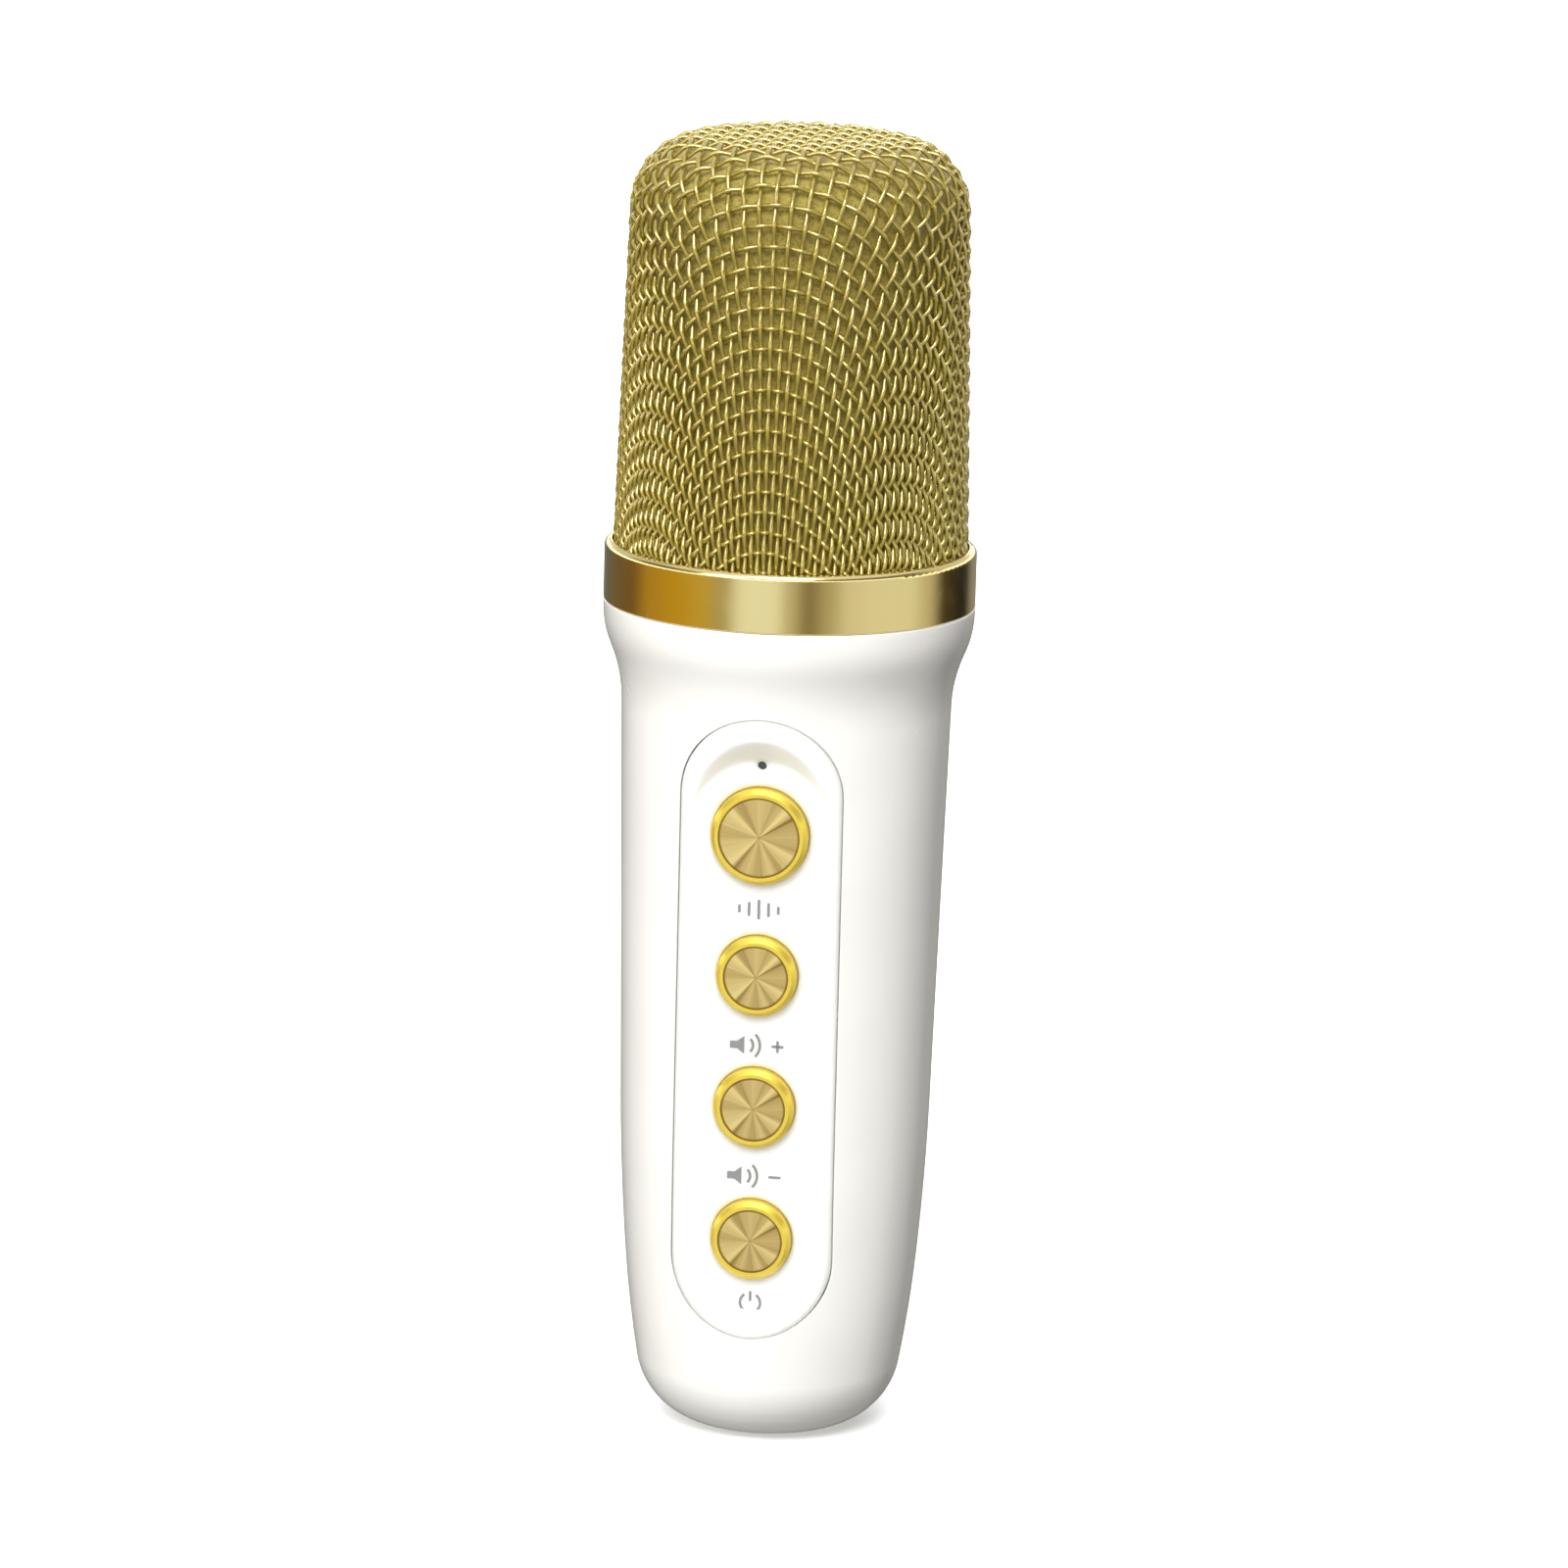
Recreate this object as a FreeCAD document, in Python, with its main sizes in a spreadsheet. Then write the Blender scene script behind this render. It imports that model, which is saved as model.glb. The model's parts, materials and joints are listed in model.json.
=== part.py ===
import FreeCAD, Part
import math
import os
import re
import Sketcher
from FreeCAD import Placement, Rotation, Vector

# A cordless karaoke microphone standing on its foot, in millimetres.
# +Z runs up the handle, the origin is the middle of the foot, and the button panel faces -Y.

DIMENSIONS = {
    # handle, outside: radii from the axis and heights from the foot
    "foot_radius": 6.1,
    "foot_curve": 8.35,
    "foot_top_radius": 14.323,
    "foot_top": 6.9,
    "belly_radius": 15.8,
    "belly_height": 18,
    "belly_curve": 132.6,
    "waist_radius": 16.815,
    "waist_height": 36,
    "waist_curve": 267,
    "neck_radius": 17.8,
    "neck_height": 80,
    "flare_radius": 19.13,
    "flare_height": 86,
    "flare_inner_curve": 16.2,
    "flare_outer_curve": 10.55,
    "rim_radius": 20,
    "rim_start": 90.195,
    "handle_height": 90.85,
    # handle, inside
    "wall": 2.1,
    "ledge_height": 84,
    "neck_bore": 17.3,
    "pillar_offset": 13.4,
    "pillar_radius": 2.6,
    "pillar_length": 10,
    "pillar_floor": 2,
    "overcut": 1,
    # seal between the handle and the head
    "seal_inner": 18.05,
    "seal_outer": 18.75,
    "seal_depth": 0.8,
    "seal_gap": 0.1,
    # button panel
    "panel_height": 47,
    "panel_depth": 14.7,
    "panel_tilt": 2.03,
    "panel_width": 17.3,
    "panel_length": 68.3,
    "panel_thickness": 1.6,
    "panel_seam": 0.15,
    "window_reach": 6,
    "recess_width": 14.8,
    "recess_length": 60.9,
    "recess_shift": -0.95,
    "recess_slope": 52,
    # buttons, measured from the panel floor
    "large_cap": 5.2,
    "small_cap": 4.33,
    "cap_rise": 1.3,
    "cap_chamfer": 0.45,
    "cap_lip": 0.8,
    "dish_depth": 0.4,
    "disc_thickness": 0.3,
    "disc_gap": 0.06,
    "button_gap": 0.12,
    "countersink": 0.3,
    "countersink_depth": 0.18,
    "flange_reach": 0.9,
    "flange_thickness": 0.6,
    "plunger_radius": 1.6,
    "plunger_gap": 0.12,
    "plunger_depth": 0.3,
    "plunger_chamfer": 0.2,
    "switch_width": 6,
    "switch_rise": 3.5,
    "switch_bore": 1.1,
    "leg_length": 1.4,
    "leg_width": 0.7,
    "leg_rise": 0.5,
    "leg_row": 2.25,
    # circuit board, behind the panel floor and parallel to it
    "board_front": 7.8,
    "board_thickness": 1.2,
    "board_width": 15,
    "board_length": 64,
    "board_shift": -1,
    "standoff_radius": 2.2,
    "standoff_side": 5.6,
    "standoff_top": 27,
    "standoff_bottom": -30.2,
    "screw_radius": 0.8,
    "screw_head": 1.5,
    "screw_head_rise": 1.1,
    "screw_head_chamfer": 0.3,
    "screw_cross": 0.15,
    "screw_cross_depth": 0.6,
    "board_screw_reach": 1.2,
    "chassis_screw_length": 7,
    "thread_gap": 0.02,
    "hole_gap": 0.1,
    "pilot_depth": 1.5,
    "light_radius": 0.5,
    "light_height": 28.9,
    "light_sink": 0.5,
    "lamp_length": 1.6,
    "lamp_width": 0.8,
    "lamp_rise": 0.6,
    "lamp_gap": 0.2,
    # chips and radio on the back of the board
    "radio_width": 11,
    "radio_length": 14,
    "radio_rise": 0.5,
    "can_width": 9.6,
    "can_length": 9,
    "can_rise": 0.9,
    # chassis
    "chassis_width": 19.2,
    "chassis_front": -3.2,
    "chassis_thickness": 1.2,
    "chassis_bottom": 4.5,
    "chassis_disc": 17,
    "disc_rise": 1,
    "window_width": 10,
    "foot_width": 8,
    "shelf_width": 11,
    "shelf_back": 10.5,
    "shelf_top": 14.5,
    "shelf_thickness": 1.2,
    "saddle_width": 17.6,
    "saddle_back": 4.5,
    "saddle_rise": 5,
    "low_saddle": 31,
    "high_saddle": 63,
    "cell_gap": 0.15,
    "high_window": 69,
    "low_window": 16,
    "low_window_top": 23,
    # cell
    "cell_radius": 7.1,
    "cell_length": 49.5,
    "cell_bottom": 26,
    "cell_offset": 5.7,
    "cell_cap": 0.9,
    "cell_cap_radius": 2.6,
    "cell_round": 0.6,
    "pad_width": 6,
    "pad_bottom": 42,
    "pad_top": 58,
    "pad_thickness": 0.55,
    "pad_gap": 0.05,
    # charging socket
    "socket_height": 17.3,
    "socket_width": 8.94,
    "socket_rise": 3.26,
    "socket_depth": 7.3,
    "socket_back": 7.7,
    "slot_margin": 0.2,
    "slot_depth": 8,
    "socket_wall": 0.3,
    "socket_end": 0.8,
    "tongue_width": 6.7,
    "tongue_rise": 0.7,
    "tongue_sink": 1,
    "charge_width": 11,
    "charge_front": 2.5,
    "charge_back": 11,
    "charge_thickness": 1,
    # head
    "ring_bottom": 90.95,
    "ring_top": 97.3,
    "ring_bore": 19.2,
    "ring_flange": 17.25,
    "ring_flange_rise": 1.25,
    "ring_round": 0.7,
    "ring_edge": 0.15,
    "mesh_bottom": 92.3,
    "mesh_skirt": 19.12,
    "mesh_skirt_top": 97,
    "mesh_shoulder": 18.248,
    "mesh_shoulder_height": 133.589,
    "mesh_curve": 7.9,
    "mesh_crown": 10.35,
    "mesh_top": 141.3,
    "mesh_thickness": 1,
    "foam_gap": 0.15,
    "foam_thickness": 2.4,
    "foam_bottom": 93.7,
    "sleeve_radius": 17.2,
    "sleeve_bore": 15.4,
    "sleeve_bottom": 85.4,
    "sleeve_top": 93.5,
    "sleeve_collar": 18,
    "sleeve_chamfer": 0.4,
    # capsule
    "cradle_radius": 7.5,
    "cradle_bore": 6.3,
    "cradle_floor": 96,
    "cradle_top": 106,
    "cradle_foot": 2,
    "cradle_foot_rise": 1.2,
    "cradle_neck_rise": 3,
    "stem_bore": 3,
    "boot_bore": 4.95,
    "boot_top": 105.4,
    "boot_gap": 0.02,
    "boot_seat": 0.1,
    "capsule_radius": 4.85,
    "capsule_bottom": 98,
    "capsule_top": 104.6,
    "capsule_chamfer": 0.3,
    "felt_inset": 0.6,
    "felt_rise": 0.4,
    "lead_radius": 0.45,
    "antenna_radius": 0.3,
    "solder_run": 1.7,
}

BUTTONS = {
    # name: (height above the panel's middle, the dimension that is its cap's radius)
    "effect": (21.3, "large_cap"),
    "volume_up": (5.9, "small_cap"),
    "volume_down": (-8.7, "small_cap"),
    "power": (-23.4, "small_cap"),
}

doc = FreeCAD.newDocument("microphone")
sheet = doc.addObject("Spreadsheet::Sheet", "dims")
parts = []


def fill_sheet():
    for row, (word, number) in enumerate(DIMENSIONS.items(), start=1):
        sheet.set(f"A{row}", word)
        sheet.set(f"B{row}", str(number))
        sheet.setAlias(f"B{row}", word)
    doc.recompute()


def formula(text):
    """Put the sheet's name before each dimension's name."""
    return re.sub(r"[a-z][a-z_]+(?!\()", lambda word: "dims." + word.group(0), text)


def value(text):
    """Work a formula out with the sheet's numbers."""
    return float(sheet.evalExpression(formula(text)))


def bind(thing, field, text):
    thing.setExpression(field, formula(text))


def keep(thing, label):
    """Give a finished sub-part its label and list it for writing."""
    thing.Label = label
    parts.append(thing)
    return thing


# ---- sketches ----

def plane_of(body, role):
    return next(plane for plane in body.Origin.OriginFeatures if plane.Role == role)


def add_sketch(body, role, height="0"):
    sketch = body.newObject("Sketcher::SketchObject", "Sketch")
    sketch.AttachmentSupport = [(plane_of(body, role), "")]
    sketch.MapMode = "FlatFace"
    if height != "0":
        bind(sketch, "AttachmentOffset.Base.z", height)
    return sketch


def pin_coordinate(sketch, kind, edge, end, text):
    """Hold one coordinate of a sketch point at a formula's value."""
    number = value(text)
    if abs(number) < 1e-9:
        axis = -2 if kind == "DistanceX" else -1
        sketch.addConstraint(Sketcher.Constraint("PointOnObject", edge, end, axis))
        return
    constraint = Sketcher.Constraint(kind, -1, 1, edge, end, number)
    index = sketch.addConstraint(constraint)
    bind(sketch, f"Constraints[{index}]", text)


def add_circle(sketch, radius, across="0", up="0"):
    middle = Vector(value(across), value(up), 0)
    edge = sketch.addGeometry(Part.Circle(middle, Vector(0, 0, 1), value(radius)))
    index = sketch.addConstraint(Sketcher.Constraint("Radius", edge, value(radius)))
    bind(sketch, f"Constraints[{index}]", radius)
    pin_coordinate(sketch, "DistanceX", edge, 3, across)
    pin_coordinate(sketch, "DistanceY", edge, 3, up)


def arc_between(start, end, radius, turn):
    """The short arc from start to end, turning left for +1 and right for -1."""
    chord = end - start
    left = Vector(-chord.y, chord.x, 0).normalize()
    rise = math.sqrt(max(0.0, radius ** 2 - (chord.Length / 2) ** 2))
    middle = (start + end) * 0.5 + left * (rise * turn)
    first, last = (start, end) if turn > 0 else (end, start)
    angle_first = math.atan2(first.y - middle.y, first.x - middle.x)
    angle_last = math.atan2(last.y - middle.y, last.x - middle.x)
    circle = Part.Circle(middle, Vector(0, 0, 1), radius)
    return Part.ArcOfCircle(circle, angle_first, angle_last)


def hold_arc(sketch, edge, chord, corner):
    """Bind an arc's radius, or a half circle's middle, whose ends already settle its radius."""
    radius = corner[2]
    if abs(chord.Length - 2 * value(radius)) > 1e-6:
        held = sketch.addConstraint(Sketcher.Constraint("Radius", edge, value(radius)))
        bind(sketch, f"Constraints[{held}]", radius)
    elif abs(chord.x) > abs(chord.y):
        pin_coordinate(sketch, "DistanceY", edge, 3, corner[1])
    else:
        pin_coordinate(sketch, "DistanceX", edge, 3, corner[0])


def add_outline(sketch, corners):
    """A closed outline. A corner is (across, up), or (across, up, radius, turn) before an arc."""
    spots = [Vector(value(corner[0]), value(corner[1]), 0) for corner in corners]
    ends = []
    edges = []
    for index, corner in enumerate(corners):
        start = spots[index]
        end = spots[(index + 1) % len(spots)]
        if len(corner) == 2:
            edges.append(sketch.addGeometry(Part.LineSegment(start, end)))
            ends.append((1, 2))
            continue
        radius, turn = corner[2], corner[3]
        edge = sketch.addGeometry(arc_between(start, end, value(radius), turn))
        hold_arc(sketch, edge, end - start, corner)
        edges.append(edge)
        ends.append((1, 2) if turn > 0 else (2, 1))
    for index, corner in enumerate(corners):
        before = index - 1
        joint = (edges[before], ends[before][1], edges[index], ends[index][0])
        sketch.addConstraint(Sketcher.Constraint("Coincident", *joint))
        pin_coordinate(sketch, "DistanceX", edges[index], ends[index][0], corner[0])
        pin_coordinate(sketch, "DistanceY", edges[index], ends[index][0], corner[1])


def add_stadium(sketch, width, length, shift="0"):
    """An upright slot shape with round ends."""
    side = f"({width}) / 2"
    reach = f"(({length}) - ({width})) / 2"
    corners = [
        (side, f"{shift} - {reach}"),
        (side, f"{shift} + {reach}", side, 1),
        (f"-{side}", f"{shift} + {reach}"),
        (f"-{side}", f"{shift} - {reach}", side, 1),
    ]
    add_outline(sketch, corners)


# ---- features ----

def new_body(name):
    return doc.addObject("PartDesign::Body", name)


def add_round(body, corners, kind="Revolution"):
    """Turn an outline, given as radius and height, all the way round the Z axis."""
    sketch = add_sketch(body, "XZ_Plane")
    add_outline(sketch, corners)
    feature = body.newObject(f"PartDesign::{kind}", kind)
    feature.Profile = sketch
    feature.ReferenceAxis = (sketch, ["V_Axis"])
    feature.Angle = 360
    return feature


def add_pad(body, sketch, length, back=False):
    pad = body.newObject("PartDesign::Pad", "Pad")
    pad.Profile = sketch
    bind(pad, "Length", length)
    pad.Reversed = back
    return pad


def add_pocket(body, sketch, length, back=False):
    pocket = body.newObject("PartDesign::Pocket", "Pocket")
    pocket.Profile = sketch
    bind(pocket, "Length", length)
    pocket.Reversed = back
    return pocket


def turned(name, corners):
    """A sub-part that is one outline turned round the Z axis."""
    body = new_body(name)
    add_round(body, corners)
    return keep(body, name)


def make_box(name, low, high):
    """A block between two corners, each given as three formulas."""
    block = doc.addObject("Part::Box", name)
    for field, axis in (("Length", 0), ("Width", 1), ("Height", 2)):
        bind(block, field, f"({high[axis]}) - ({low[axis]})")
    for letter, text in zip("xyz", low):
        bind(block, f"Placement.Base.{letter}", text)
    return block


def make_rod(name, radius, height, spot=()):
    """An upright rod. Without a spot it gets its Placement from the caller."""
    rod = doc.addObject("Part::Cylinder", name)
    bind(rod, "Radius", radius)
    bind(rod, "Height", height)
    for letter, text in zip("xyz", spot):
        bind(rod, f"Placement.Base.{letter}", text)
    return rod


def join(name, shapes):
    whole = doc.addObject("Part::MultiFuse", name)
    whole.Shapes = shapes
    return whole


def take_away(name, base, tools):
    tool = tools[0] if len(tools) == 1 else join(name + "_tools", tools)
    rest = doc.addObject("Part::Cut", name)
    rest.Base = base
    rest.Tool = tool
    return rest


def group(name, shapes):
    """Several separate solids that share one sub-part."""
    whole = doc.addObject("Part::Compound", name)
    whole.Links = shapes
    return whole


def lead_path(spots):
    """Straight runs joined by tangent arcs, as large as the runs allow."""
    edges = []
    last = spots[0]
    for before, corner, after in zip(spots, spots[1:], spots[2:]):
        toward = (before - corner).normalize()
        onward = (after - corner).normalize()
        half_turn = (math.pi - toward.getAngle(onward)) / 2
        reach = 0.45 * min((before - corner).Length, (after - corner).Length)
        radius = reach / math.tan(half_turn)
        start = corner + toward * reach
        end = corner + onward * reach
        inward = (toward + onward).normalize()
        middle = corner + inward * (radius / math.cos(half_turn) - radius)
        edges.append(Part.LineSegment(last, start).toShape())
        edges.append(Part.Arc(start, middle, end).toShape())
        last = end
    edges.append(Part.LineSegment(last, spots[-1]).toShape())
    return Part.Wire(edges)


def make_lead(name, spots, radius="lead_radius"):
    """An insulated lead along a route, with its ends cut square."""
    path = lead_path(spots)
    section = Part.Wire(Part.Circle(spots[0], spots[1] - spots[0], value(radius)).toShape())
    tube = path.makePipeShell([section], True, False)
    ideal = math.pi * value(radius) ** 2 * path.Length
    if abs(tube.Volume - ideal) > 0.01 * ideal:
        raise RuntimeError(f"{name}: swept volume {tube.Volume:.2f}, wanted {ideal:.2f}")
    feature = doc.addObject("Part::Feature", name)
    feature.Shape = tube
    return keep(feature, name)


# ---- the panel's own frame: X across, Y up the panel, Z out of its floor ----

def panel_place(up=0.0, out=0.0, across=0.0):
    tilt = Rotation(Vector(1, 0, 0), 90 + value("panel_tilt"))
    middle = Vector(0, -value("panel_depth"), value("panel_height"))
    return Placement(middle + tilt.multVec(Vector(across, up, out)), tilt)


def panel_box(name, width, length, low, high, across=0.0, up=0.0):
    """A block centred on a spot of the panel, between two heights over its floor."""
    block = doc.addObject("Part::Box", name)
    bind(block, "Length", width)
    bind(block, "Width", length)
    bind(block, "Height", f"({high}) - ({low})")
    corner = (up - value(length) / 2, value(low), across - value(width) / 2)
    block.Placement = panel_place(*corner)
    return block


# ---- handle ----

def handle_outline():
    return [
        ("0", "0"),
        ("foot_radius", "0", "foot_curve", 1),
        ("foot_top_radius", "foot_top", "belly_curve", 1),
        ("belly_radius", "belly_height", "waist_curve", 1),
        ("waist_radius", "waist_height"),
        ("neck_radius", "neck_height", "flare_inner_curve", -1),
        ("flare_radius", "flare_height", "flare_outer_curve", 1),
        ("rim_radius", "rim_start"),
        ("rim_radius", "handle_height"),
        ("0", "handle_height"),
    ]


def cavity_outline():
    return [
        ("0", "wall"),
        ("foot_radius", "wall", "foot_curve - wall", 1),
        ("foot_radius + foot_curve - wall", "foot_curve"),
        ("belly_radius - wall", "belly_height"),
        ("waist_radius - wall", "waist_height"),
        ("neck_radius - wall", "neck_height"),
        ("neck_radius - wall", "ledge_height"),
        ("neck_bore", "ledge_height"),
        ("neck_bore", "handle_height + overcut"),
        ("0", "handle_height + overcut"),
    ]


def seal_groove_outline():
    low = "handle_height - seal_depth - seal_gap"
    inner = "seal_inner - seal_gap"
    outer = "seal_outer + seal_gap"
    high = "handle_height + overcut"
    return [(inner, low), (outer, low), (outer, high), (inner, high)]


def make_handle_shell():
    body = new_body("handle_blank")
    add_round(body, handle_outline())
    add_round(body, cavity_outline(), "Groove")
    add_round(body, seal_groove_outline(), "Groove")
    pillars = add_sketch(body, "XY_Plane", "ledge_height")
    add_circle(pillars, "pillar_radius", "pillar_offset")
    add_circle(pillars, "pillar_radius", "-pillar_offset")
    add_pad(body, pillars, "pillar_length", back=True)
    holes = add_sketch(body, "XY_Plane", "ledge_height")
    add_circle(holes, "screw_radius + thread_gap", "pillar_offset")
    add_circle(holes, "screw_radius + thread_gap", "-pillar_offset")
    add_pocket(body, holes, "pillar_length - pillar_floor")
    window = panel_prism("panel_window", "panel_seam", "window_reach")
    slot = socket_slot()
    return keep(take_away("handle_shell", body, [window, slot]), "handle_shell")


def socket_outline(spare):
    """A flat slot shape with round ends, centred on the socket and larger by spare all round."""
    half = f"(socket_rise / 2 + {spare})"
    side = "(socket_width - socket_rise) / 2"
    return [
        (f"-{side}", f"socket_height - {half}"),
        (side, f"socket_height - {half}", half, 1),
        (side, f"socket_height + {half}"),
        (f"-{side}", f"socket_height + {half}", half, 1),
    ]


def socket_slot():
    """The rounded slot for the charging socket, through the back of the handle."""
    body = new_body("socket_slot")
    sketch = add_sketch(body, "XZ_Plane", "-(belly_radius + overcut)")
    add_outline(sketch, socket_outline("slot_margin"))
    add_pad(body, sketch, "slot_depth")
    return body


# ---- button panel ----

def panel_prism(name, spare, depth):
    """A stadium block standing through the handle's front wall."""
    body = new_body(name)
    sketch = add_sketch(body, "XY_Plane", f"-({depth})")
    grow = f"2 * ({spare})"
    add_stadium(sketch, f"panel_width + {grow}", f"panel_length + {grow}")
    add_pad(body, sketch, f"({depth}) + window_reach")
    body.Placement = panel_place()
    return body


def panel_recess():
    """The sunken floor with its sloping wall."""
    body = new_body("panel_recess")
    sketch = add_sketch(body, "XY_Plane")
    add_stadium(sketch, "recess_width", "recess_length", "recess_shift")
    pad = add_pad(body, sketch, "window_reach")
    bind(pad, "TaperAngle", "recess_slope")
    body.Placement = panel_place()
    return body


def button_opening(name, up, cap):
    """A hole that clears one cap, with a shallow countersink."""
    body = new_body(name + "_opening")
    hole = f"{cap} + button_gap"
    mouth = f"{cap} + countersink"
    low = "-(panel_thickness + overcut)"
    corners = [
        ("0", low),
        (hole, low),
        (hole, "-countersink_depth"),
        (mouth, "0"),
        (mouth, "overcut"),
        ("0", "overcut"),
    ]
    add_round(body, corners)
    body.Placement = panel_place(up)
    return body


def make_button_panel():
    blank = new_body("panel_blank")
    add_round(blank, handle_outline())
    prism = panel_prism("panel_prism", "0", "panel_thickness")
    front = doc.addObject("Part::MultiCommon", "panel_front")
    front.Shapes = [blank, prism]
    openings = [button_opening(name, up, cap) for name, (up, cap) in BUTTONS.items()]
    light = make_rod("light_opening", "light_radius", "panel_thickness + 2 * overcut")
    light.Placement = panel_place(value("light_height"), -value("panel_thickness + overcut"))
    tools = [panel_recess(), light] + openings
    return keep(take_away("button_panel", front, tools), "button_panel")


# ---- buttons ----

def make_cap(name, up, cap):
    dish = f"{cap} - cap_lip"
    back = "-(panel_thickness + button_gap)"
    reach = f"{cap} + flange_reach"
    corners = [
        ("0", f"{back} - flange_thickness"),
        (reach, f"{back} - flange_thickness"),
        (reach, back),
        (cap, back),
        (cap, "cap_rise - cap_chamfer"),
        (f"{cap} - cap_chamfer", "cap_rise"),
        (dish, "cap_rise"),
        (dish, "cap_rise - dish_depth"),
        ("0", "cap_rise - dish_depth"),
    ]
    button = turned(name + "_button", corners)
    button.Placement = panel_place(up)


def make_disc(name, up, cap):
    edge = f"{cap} - cap_lip - disc_gap"
    low = "cap_rise - dish_depth"
    corners = [
        ("0", low),
        (edge, low),
        (edge, f"{low} + disc_thickness"),
        ("0", f"{low} + disc_thickness"),
    ]
    disc = turned(name + "_button_disc", corners)
    disc.Placement = panel_place(up)


def make_plunger(name, up):
    low = "-(board_front - switch_rise + plunger_depth)"
    high = "-(panel_thickness + button_gap + flange_thickness)"
    corners = [
        ("0", low),
        ("plunger_radius - plunger_chamfer", low),
        ("plunger_radius", f"{low} + plunger_chamfer"),
        ("plunger_radius", high),
        ("0", high),
    ]
    plunger = turned(name + "_switch_plunger", corners)
    plunger.Placement = panel_place(up)


def make_buttons():
    for name, (up, cap) in BUTTONS.items():
        make_cap(name, up, cap)
        make_disc(name, up, cap)
        make_plunger(name, up)


def make_switch(name, up):
    """A push switch's housing with its four soldered legs."""
    low = "-board_front"
    shapes = [panel_box(name, "switch_width", "switch_width", low, f"{low} + switch_rise", up=up)]
    reach = value("(switch_width + leg_width) / 2")
    row = value("leg_row")
    for across in (-reach, reach):
        for along in (up - row, up + row):
            leg = panel_box(name + "_leg", "leg_length", "leg_width", low, f"{low} + leg_rise", across, along)
            shapes.append(leg)
    solid = join(name + "_solid", shapes)
    bore = make_rod(name + "_bore", "plunger_radius + plunger_gap", "switch_bore + overcut")
    bore.Placement = panel_place(up, value("switch_rise - board_front - switch_bore"))
    return take_away(name + "_cut", solid, [bore])


def make_switches():
    housings = [make_switch(name + "_switch", up) for name, (up, cap) in BUTTONS.items()]
    keep(group("tact_switches", housings), "tact_switches")


# ---- circuit board and what it carries ----

def standoff_spots():
    side = value("standoff_side")
    rows = (value("standoff_top"), value("standoff_bottom"))
    return [(across, up) for up in rows for across in (-side, side)]


def make_circuit_board():
    front = "-board_front"
    back = f"{front} - board_thickness"
    shift = value("board_shift")
    plate = panel_box("board_plate", "board_width", "board_length", back, front, up=shift)
    holes = []
    for across, up in standoff_spots():
        hole = make_rod("board_hole", "screw_radius + hole_gap", "board_thickness + 2 * overcut")
        hole.Placement = panel_place(up, value(f"{back} - overcut"), across)
        holes.append(hole)
    keep(take_away("circuit_board", plate, holes), "circuit_board")


def make_screw(name, place, length):
    """A pan-head screw whose head stands on Z = 0 of its place."""
    body = new_body(name)
    corners = [
        ("0", f"-({length})"),
        ("screw_radius", f"-({length})"),
        ("screw_radius", "0"),
        ("screw_head", "0"),
        ("screw_head", "screw_head_rise - screw_head_chamfer"),
        ("screw_head - screw_head_chamfer", "screw_head_rise"),
        ("0", "screw_head_rise"),
    ]
    add_round(body, corners)
    slot = add_sketch(body, "XY_Plane", "screw_head_rise")
    half, reach = "screw_cross", "(screw_head - 2 * screw_head_chamfer)"
    cross = [
        (reach, f"-{half}"), (reach, half), (half, half), (half, reach), (f"-{half}", reach),
        (f"-{half}", half), (f"-{reach}", half), (f"-{reach}", f"-{half}"),
        (f"-{half}", f"-{half}"), (f"-{half}", f"-{reach}"), (half, f"-{reach}"), (half, f"-{half}"),
    ]
    add_outline(slot, cross)
    add_pocket(body, slot, "screw_cross_depth")
    body.Placement = place
    return body


def make_board_screws():
    front = -value("board_front")
    length = "board_thickness + board_screw_reach"
    screws = []
    for across, up in standoff_spots():
        screws.append(make_screw("board_screw", panel_place(up, front, across), length))
    keep(group("board_screws", screws), "board_screws")


def make_light():
    """The status light on the board and the clear pipe that carries it to the panel."""
    height = value("light_height")
    low = "-board_front"
    lamp = panel_box("status_led", "lamp_length", "lamp_width", low, f"{low} + lamp_rise", up=height)
    keep(lamp, "status_led")
    foot = f"{low} + lamp_rise + lamp_gap"
    corners = [
        ("0", foot),
        ("light_radius * 2", foot),
        ("light_radius * 2", "-panel_thickness"),
        ("light_radius - thread_gap", "-panel_thickness"),
        ("light_radius - thread_gap", "-light_sink"),
        ("0", "-light_sink"),
    ]
    pipe = turned("light_pipe", corners)
    pipe.Placement = panel_place(height)


def make_radio_module():
    back = "-(board_front + board_thickness)"
    base = panel_box("radio_base", "radio_width", "radio_length", f"{back} - radio_rise", back, up=2.5)
    can_back = f"{back} - radio_rise"
    shield = panel_box("radio_can", "can_width", "can_length", f"{can_back} - can_rise", can_back, up=0.6)
    keep(join("radio_module", [base, shield]), "radio_module")


def make_board_chips():
    """The sound chip, the power chip and the crystal, on the back of the board."""
    back = "-(board_front + board_thickness)"
    chips = []
    for name, width, height, rise, up, across in (
            ("sound_chip", "6", "6", "0.9", -12.5, 0),
            ("power_chip", "4", "5", "1.0", -20.5, 3.5),
            ("crystal", "3.2", "2.5", "0.8", -20.5, -3.5)):
        chips.append(panel_box(name, width, height, f"{back} - {rise}", back, across, up))
    keep(group("board_chips", chips), "board_chips")


def panel_spot(across, up, out):
    return panel_place(up, out, across).Base


def make_antenna():
    """A short whip soldered to the board, beside the radio module."""
    back = -value("board_front + board_thickness")
    route = [
        panel_spot(3.5, 11.5, back),
        panel_spot(3.5, 11.5, back - 1.6),
        panel_spot(3.5, 15.5, back - 1.3),
        panel_spot(4.0, 19.5, back - 1.3),
        panel_spot(4.0, 23.5, back - 1.2),
    ]
    make_lead("antenna_wire", route, "antenna_radius")


# ---- chassis ----

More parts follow.
